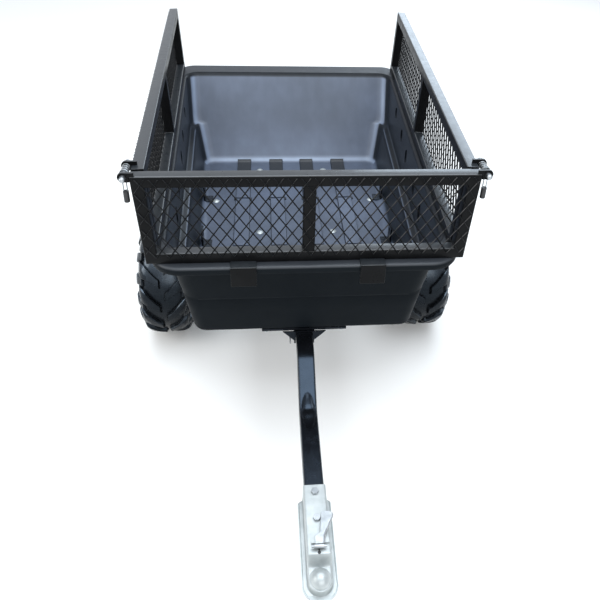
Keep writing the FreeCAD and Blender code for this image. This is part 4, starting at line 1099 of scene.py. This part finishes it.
def make_rails(paint):
    """The three rail frames, their straps and the expanded mesh in them."""
    low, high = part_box("side_rail_frame_right")
    long = (high.y - low.y) * math.hypot(1, TAPER) - RAIL_TUBE * TAPER
    outer = [(-FOOT_HALF, RAIL_GAP), (FOOT_HALF, RAIL_GAP),
             (HEAD_HALF, RAIL_HEIGHT), (-HEAD_HALF, RAIL_HEIGHT)]
    rail_frame("front_rail_tubes", outer, (0.0,), front_place(), paint, "front_rail_frame")
    outer = [(0, RAIL_GAP), (long, RAIL_GAP), (long, RAIL_HEIGHT), (0, RAIL_HEIGHT)]
    flip = Matrix.Scale(-1, 4, (1, 0, 0))
    rail_frame("side_rail_tubes_right", outer, (long / 2,), side_place(), paint, "side_rail_frame_right")
    rail_frame("side_rail_tubes_left", outer, (long / 2,), flip @ side_place(), paint, "side_rail_frame_left")
    for node in ("front_hook_straps", "side_hook_straps", "latch_ears"):
        softened(node, paint["powder"], 0.0012)
    top = RAIL_HEIGHT - 0.008
    place = front_place() @ Matrix.Translation((0, 0, 0.0013))
    region = [(-0.418, 0.020), (0.418, 0.020), (0.429, top), (-0.429, top)]
    expanded_sheet("front_mesh_strands", region, place, paint, "front_mesh")
    region = [(0.034, 0.020), (long - 0.008, 0.020), (long - 0.008, top), (0.034, top)]
    place = side_place() @ Matrix.Translation((0, 0, 0.0013))
    expanded_sheet("side_mesh_strands_right", region, place, paint, "side_mesh_right", SIDE_STRAND_WIDTH)
    expanded_sheet("side_mesh_strands_left", region, flip @ place, paint, "side_mesh_left", SIDE_STRAND_WIDTH)


# ------------------------------------------------------------------ latches

def make_latches(paint):
    """Latch pins with their grips, and a coil spring on each."""
    for name in ("left", "right"):
        softened("latch_pin_" + name, paint["zinc"], 0.0008)
        softened("latch_grip_" + name, paint["vinyl"], 0.0022, 3)
        low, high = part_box("latch_spring_" + name)
        centre = (low + high) / 2
        turns, radius, wire = 3.5, 0.0090, 0.0009
        points = []
        steps = 90
        for i in range(steps + 1):
            angle = 2 * math.pi * turns * i / steps
            at_y = mix(low.y + wire, high.y - wire, i / steps)
            x, z = centre.x + radius * math.cos(angle), centre.z + radius * math.sin(angle)
            points.append(Vector((x, at_y, z)))
        verts, faces = tube(points, wire, 8)
        spring = piece("spring_coil_" + name, verts, faces, paint["zinc"], "rail_kit",
                       ("latch_spring_" + name,), crease=60)
        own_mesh(spring)


# ------------------------------------------------------------------ chassis and coupler

BAR_LOW, BAR_HIGH = 0.325, 0.410
BAR_HALF = 0.0254
BALL_Y = bed(-0.612)
BALL_HEIGHT = 0.318


def rounded_route(corners, radius, step):
    """Points along straight runs whose corners are rounded."""
    route = [corners[0]]
    for before, corner, after in zip(corners, corners[1:], corners[2:]):
        back = (before - corner).normalized()
        ahead = (after - corner).normalized()
        half = back.angle(ahead) / 2
        centre = corner + (back + ahead).normalized() * radius / math.sin(half)
        start = corner + back * radius / math.tan(half) - centre
        end = corner + ahead * radius / math.tan(half) - centre
        swing = math.atan2(start.x * end.y - start.y * end.x, start.dot(end))
        route += [centre + Matrix.Rotation(swing * k / 10, 2) @ start for k in range(11)]
    route.append(corners[-1])
    fine = []
    for start, end in zip(route, route[1:]):
        count = max(1, int((end - start).length / step))
        fine += [start.lerp(end, k / count) for k in range(count)]
    return fine + [route[-1]]


def make_drawbar(paint):
    """Rounded square tube with two bends; the wall is pressed in a little ahead of the lower bend."""
    corners = [Vector((bed(-0.5), BAR_LOW)), Vector((bed(-0.125), BAR_LOW)),
               Vector((bed(0.025), BAR_HIGH)), Vector((bed(0.78), BAR_HIGH))]
    route = rounded_route(corners, 0.090, 0.005)
    edge = 0.0062
    flat = BAR_HALF - edge
    section = []
    for u, w, first in ((1, -1, -90), (1, 1, 0)):
        section += arc((u * flat, w * flat), edge, first, first + 90, 5)
    section += [(flat - 2 * flat * k / 16, BAR_HALF) for k in range(1, 16)]
    for u, w, first in ((-1, 1, 90), (-1, -1, 180)):
        section += arc((u * flat, w * flat), edge, first, first + 90, 5)
    dent_middle, dent_long, dent_wide, dent_deep = bed(-0.143), 0.062, 0.0205, 0.0105
    loops = []
    for i, point in enumerate(route):
        ahead = (route[min(i + 1, len(route) - 1)] - route[max(i - 1, 0)]).normalized()
        normal = Vector((-ahead.y, ahead.x))
        loop = []
        for u, w in section:
            if w > flat:
                far = ((point.x - dent_middle) / dent_long) ** 2 + (u / dent_wide) ** 2
                waist = 1 - 0.40 * bell(point.x, dent_middle, 0.016)
                w -= dent_deep * max(0.0, 1 - far) ** 0.55 * waist
            at = point + normal * w
            loop.append(Vector((u, at.x, at.y)))
        loops.append(loop)
    verts, faces = capped(loops)
    piece("drawbar_tube", verts, faces, paint["gloss_black"], "chassis", ("drawbar",),
          crease=40)


FLANGE_LOW, FLANGE_TOP, FLANGE_HALF = 0.297, 0.3005, 0.043
CHANNEL_HALF, CHANNEL_TOP = 0.0292, 0.3544
COLLAR_TOP, DOME_RADIUS, SOCKET_RADIUS = 0.3215, 0.0262, 0.0242


def coupler_section(y):
    """Closed outline of the stamped coupler across one station."""
    ahead = BALL_Y - y
    flange = FLANGE_HALF
    if ahead > 0:
        flange = math.sqrt(max(FLANGE_HALF ** 2 - ahead ** 2, 0.0)) + 0.0005
    rear = bed(-0.394)
    flange = mix(CHANNEL_HALF + 0.0004, flange, smooth_between(rear + 0.0005 - y, -0.0004, 0.009) ** 0.5)
    wall = CHANNEL_HALF
    if ahead > 0:
        wall = math.sqrt(max(CHANNEL_HALF ** 2 - ahead ** 2, 0.0))
    wall = min(wall, flange - 0.0002)
    raised = wall > 0.004
    fall = smooth_between(-ahead, 0.028, 0.043)
    top = mix(COLLAR_TOP, CHANNEL_TOP, fall) if raised else FLANGE_TOP
    dome = math.sqrt(max(DOME_RADIUS ** 2 - ahead ** 2, 0.0)) if raised and abs(ahead) < DOME_RADIUS else 0.0
    right = [(flange, FLANGE_LOW), (flange, FLANGE_TOP - 0.0010), (flange - 0.0008, FLANGE_TOP + 0.0012),
             (flange - 0.0028, FLANGE_TOP + 0.0014), (flange - 0.0044, FLANGE_TOP)]
    right = [(max(x, wall + 0.0001), z) for x, z in right]
    foot = min(wall + 0.0045, right[-1][0])
    base = FLANGE_TOP if raised else top
    right += [(foot, base), (min(wall + 0.0014, foot), base + (0.0010 if raised else 0.0)),
              (wall, base + (0.0042 if raised else 0.0))]
    edge = min(0.0055, wall * 0.4)
    crown = arc((wall - edge, top - edge if raised else top), edge if raised else 0.0, 0, 90, 5)
    if not raised:
        crown = [(wall * (1 - k / 14), top) for k in range(6)]
    ring = max(dome, 0.001 if raised else 0.0)
    inner = crown[-1][0]
    collar = COLLAR_TOP - BALL_HEIGHT
    start = math.asin(min(1.0, collar / dome)) if dome > collar else None
    for k in range(9):
        if start is None:
            crown.append((inner * (1 - (k + 1) / 9), top))
            continue
        angle = mix(start, math.pi / 2, k / 8)
        crown.append((min(ring * math.cos(angle), inner), max(BALL_HEIGHT + dome * math.sin(angle), top)))
    right += crown
    left = [(-x, z) for x, z in right[:-1]][::-1]
    outside = [(x, z) for x, z in right] + left
    hollow = BAR_HALF + 0.0002
    if ahead > -0.014:
        hollow = math.sqrt(max(SOCKET_RADIUS ** 2 - ahead ** 2, 0.0))
    hollow = min(hollow, wall - 0.0012) if raised and hollow > 0.003 else 0.0
    roof = FLANGE_LOW + 0.0001
    if hollow:
        roof = top - 0.0034
        if ahead > -0.014:
            roof = BALL_HEIGHT + max(hollow - 0.0015, 0.0)
    under = [(-min(hollow + 0.0006, flange), FLANGE_LOW)]
    bend = min(0.004, hollow * 0.5)
    if ahead > -0.014 and hollow:
        arcs = []
        for degrees in range(0, 181, 20):
            turn = math.radians(degrees)
            arcs.append((-hollow * math.cos(turn), BALL_HEIGHT + (roof - BALL_HEIGHT) * math.sin(turn)))
    else:
        arcs = arc((-hollow + bend, roof - bend), bend, 180, 90, 4)
        arcs += [(-x, z) for x, z in arcs[::-1]]
    if not hollow:
        arcs = [(flange * 0.5 * (k / 4.5 - 1), FLANGE_LOW) for k in range(10)]
        under = [(-flange * 0.8, FLANGE_LOW)]
    under += arcs
    under.append((-under[0][0], FLANGE_LOW))
    return [Vector((x, y, z)) for x, z in outside + under]


def make_coupler(paint):
    """Stamped ball coupler: flanged channel over the drawbar, domed socket, lugs and an adjusting nut."""
    stations = [bed(-0.385), bed(-0.3935), bed(-0.3945), bed(-0.396), bed(-0.398), bed(-0.401), bed(-0.405)]
    stations += [mix(bed(-0.43), BALL_Y + 0.050, k / 8) for k in range(9)]
    stations += [BALL_Y + 0.046 - 0.002 * k for k in range(10)]
    stations += [BALL_Y + 0.0262 - 0.0262 * (1 - math.cos(math.pi * k / 24)) for k in range(1, 24)]
    stations += [BALL_Y - 0.0275, BALL_Y - 0.0288, BALL_Y - 0.0292, BALL_Y - 0.0315]
    stations += [BALL_Y - FLANGE_HALF * math.sin(math.radians(a)) for a in (50, 56, 62, 68, 74, 80, 85, 89)]
    heap = Heap()
    heap.add(*capped([coupler_section(y) for y in stations]))
    for x in (-0.0100, 0.0178):
        heap.add(*block((x - 0.0078, bed(-0.546), CHANNEL_TOP - 0.001),
                        (x + 0.0078, bed(-0.537), CHANNEL_TOP + 0.0062)))
    piece("coupler_stamping", heap.verts, heap.faces, paint["stamped_zinc"], "chassis",
          ("coupler_body",), crease=34)
    details = Heap()
    details.add(*block((-0.0014, bed(-0.563), CHANNEL_TOP - 0.002),
                       (0.0014, bed(-0.554), CHANNEL_TOP + 0.0005)))
    points = [Vector((0.0, bed(-0.5665), CHANNEL_TOP + above)) for above in (-0.003, 0.0012)]
    details.add(*tube(points, 0.0040, 6))
    piece("coupler_nut", details.verts, details.faces, paint["black_plastic"], "chassis")


def make_chassis(paint):
    """Axle, drawbar and coupler, and the fasteners on them."""
    for node in ("axle_riser_left", "axle_riser_right", "axle_beam", "axle_strut_left", "axle_strut_right",
                 "pivot_tube"):
        softened(node, paint["gloss_black"], 0.0012)
    make_drawbar(paint)
    softened("drawbar_end_cap", paint["black_plastic"], 0.0010)
    for node in ("riser_bolts", "axle_nuts", "axle_cotters", "coupler_bolts", "coupler_pins"):
        softened(node, paint["zinc"], 0.0007)
    for node in ("axle_shaft", "axle_spacers"):
        softened(node, paint["steel"], 0.0007)
    make_coupler(paint)


LOCK_Y = bed(0.112)
CHEEK_IN, CHEEK_OUT = 0.0264, 0.0312
CHEEK_FRONT, CHEEK_REAR = bed(0.0980), bed(0.156)
SADDLE_FRONT, SADDLE_BACK = bed(0.0975), bed(0.1015)


def make_saddle(paint):
    """Saddle over the drawbar: a tapering front plate and two cheeks slotted for the lock pin."""
    low, top = 0.392, 0.440
    heap = Heap()
    plate = [(-0.066, top), (-CHEEK_OUT, 0.404), (-CHEEK_OUT, low), (-CHEEK_IN, low), (-CHEEK_IN, 0.4368),
             (CHEEK_IN, 0.4368), (CHEEK_IN, low), (CHEEK_OUT, low), (CHEEK_OUT, 0.404), (0.066, top)]
    heap.add(*slab(plate, SADDLE_FRONT, SADDLE_BACK, lambda u, v, d: Vector((u, d, v))))
    seat = 0.0085
    notch = [(LOCK_Y - 0.0112, low), (LOCK_Y - seat, BAR_HIGH)]
    notch += [(LOCK_Y - y, z) for y, z in arc((0, BAR_HIGH), seat, 0, 180, 10)][1:-1]
    notch += [(LOCK_Y + seat, BAR_HIGH), (LOCK_Y + 0.0108, low)]
    cheek = [(CHEEK_FRONT, low)] + notch + [(CHEEK_REAR, low), (CHEEK_REAR, top), (CHEEK_FRONT, top)]
    for side in (-1, 1):
        heap.add(*slab(cheek, side * CHEEK_IN, side * CHEEK_OUT, lambda u, v, d: Vector((d, u, v))))
    piece("saddle_plates", heap.verts, heap.faces, paint["gloss_black"], "tub",
          ("front_saddle",), crease=30)


def make_underframe(paint):
    """Runners, cross bars, saddle and the pads and brackets under the tub."""
    for node in ("runner_left", "runner_right", "cross_bars"):
        softened(node, paint["gloss_black"], 0.0012)
    make_saddle(paint)
    softened("tie_down_brackets", paint["gloss_black"], 0.0010)
    softened("saddle_pad", paint["black_plastic"], 0.0006)
    for node, finish in (("pivot_bolt", "zinc"), ("pivot_nut", "zinc"), ("floor_bolts", "stamped_zinc"),
                         ("floor_nuts", "zinc")):
        softened(node, paint[finish], 0.0008)


def make_lock_pin(paint):
    """Pull pin with a round head, a hexagonal collar and a spring clip that hangs from its end."""
    heap = Heap()
    for stations, radius, sides in (
        ((-0.046, -0.0459, 0.0385, 0.0400), 0.0062, 20), ((-0.0395, -0.0345), 0.0095, 6),
        ((0.0340, 0.0385), 0.0088, 6),
    ):
        heap.add(*tube([Vector((x, LOCK_Y, BAR_HIGH)) for x in stations], radius, sides))
    thing = piece("lock_pin_shank", heap.verts, heap.faces, paint["dull_zinc"], "lock",
                  ("lock_pin",))
    add_bevel(thing, 0.0006)
    wide, tall = 0.0125, 0.0150
    clip = []
    for k in range(33):
        angle = 2 * math.pi * k / 32
        height = BAR_HIGH - 0.0120 + tall * math.cos(angle)
        clip.append(Vector((-0.0430, LOCK_Y + wide * math.sin(angle), height)))
    verts, faces = tube(clip, 0.0017, 8)
    piece("lock_pull_clip", verts, faces, paint["dull_zinc"], "lock", ("lock_ring",),
          crease=60)


def make_lever(paint):
    """Thumb lever: a skewed blade with a folded edge and a wire spring, hinged on a barrel."""
    base = 0.3625
    hinge = bed(-0.556)
    blade = [(-0.0085, 0.0), (0.0085, 0.0), (0.0125, 0.026), (0.0385, 0.076), (0.0370, 0.084),
             (0.0330, 0.088), (0.0150, 0.090), (0.0105, 0.086), (0.0045, 0.034), (-0.0085, 0.026)]
    heap = Heap()
    heap.add(*slab(blade, base, base + 0.0022, lambda u, v, d: Vector((u, hinge + v, d))))
    fold = [Vector(corner) for corner in blade[1:5]]
    for start, end in zip(fold, fold[1:]):
        along = (end - start).normalized()
        across = Vector((along.y, -along.x)) * 0.0018
        outline_points = [start, end, end + across, start + across]
        heap.add(*slab([tuple(p) for p in outline_points], base - 0.0045, base + 0.0022,
                       lambda u, v, d: Vector((u, hinge + v, d))))
    heap.add(*tube([Vector((x, hinge, 0.3634)) for x in (-0.0115, 0.0115)], 0.0055, 20))
    thing = piece("lever_blade", heap.verts, heap.faces, paint["zinc"], "lever",
                  ("coupler_lever",), crease=30)
    add_bevel(thing, 0.0005)
    wire = [Vector((0.0125, hinge + 0.004, 0.3680)),
            Vector((0.0170, hinge + 0.030, 0.3668)), Vector((0.0300, hinge + 0.055, 0.3662)),
            Vector((0.0400, hinge + 0.078, 0.3655))]
    verts, faces = tube(wire, 0.0011, 8)
    piece("lever_wire", verts, faces, paint["steel"], "lever", crease=60)


def make_loose_parts(paint):
    """The lock pin, the dump lever and the ball clamp."""
    make_lock_pin(paint)
    make_lever(paint)
    softened("ball_clamp", paint["zinc"], 0.0008)


paints = make_materials()
make_studio()
make_camera()
make_tub(paints)
make_ribs(paints)
for label, hand in (("left", -1), ("right", 1)):
    make_tyre(paints, label, hand)
    make_wheel_parts(paints, label)
make_rails(paints)
make_latches(paints)
make_chassis(paints)
make_underframe(paints)
make_loose_parts(paints)
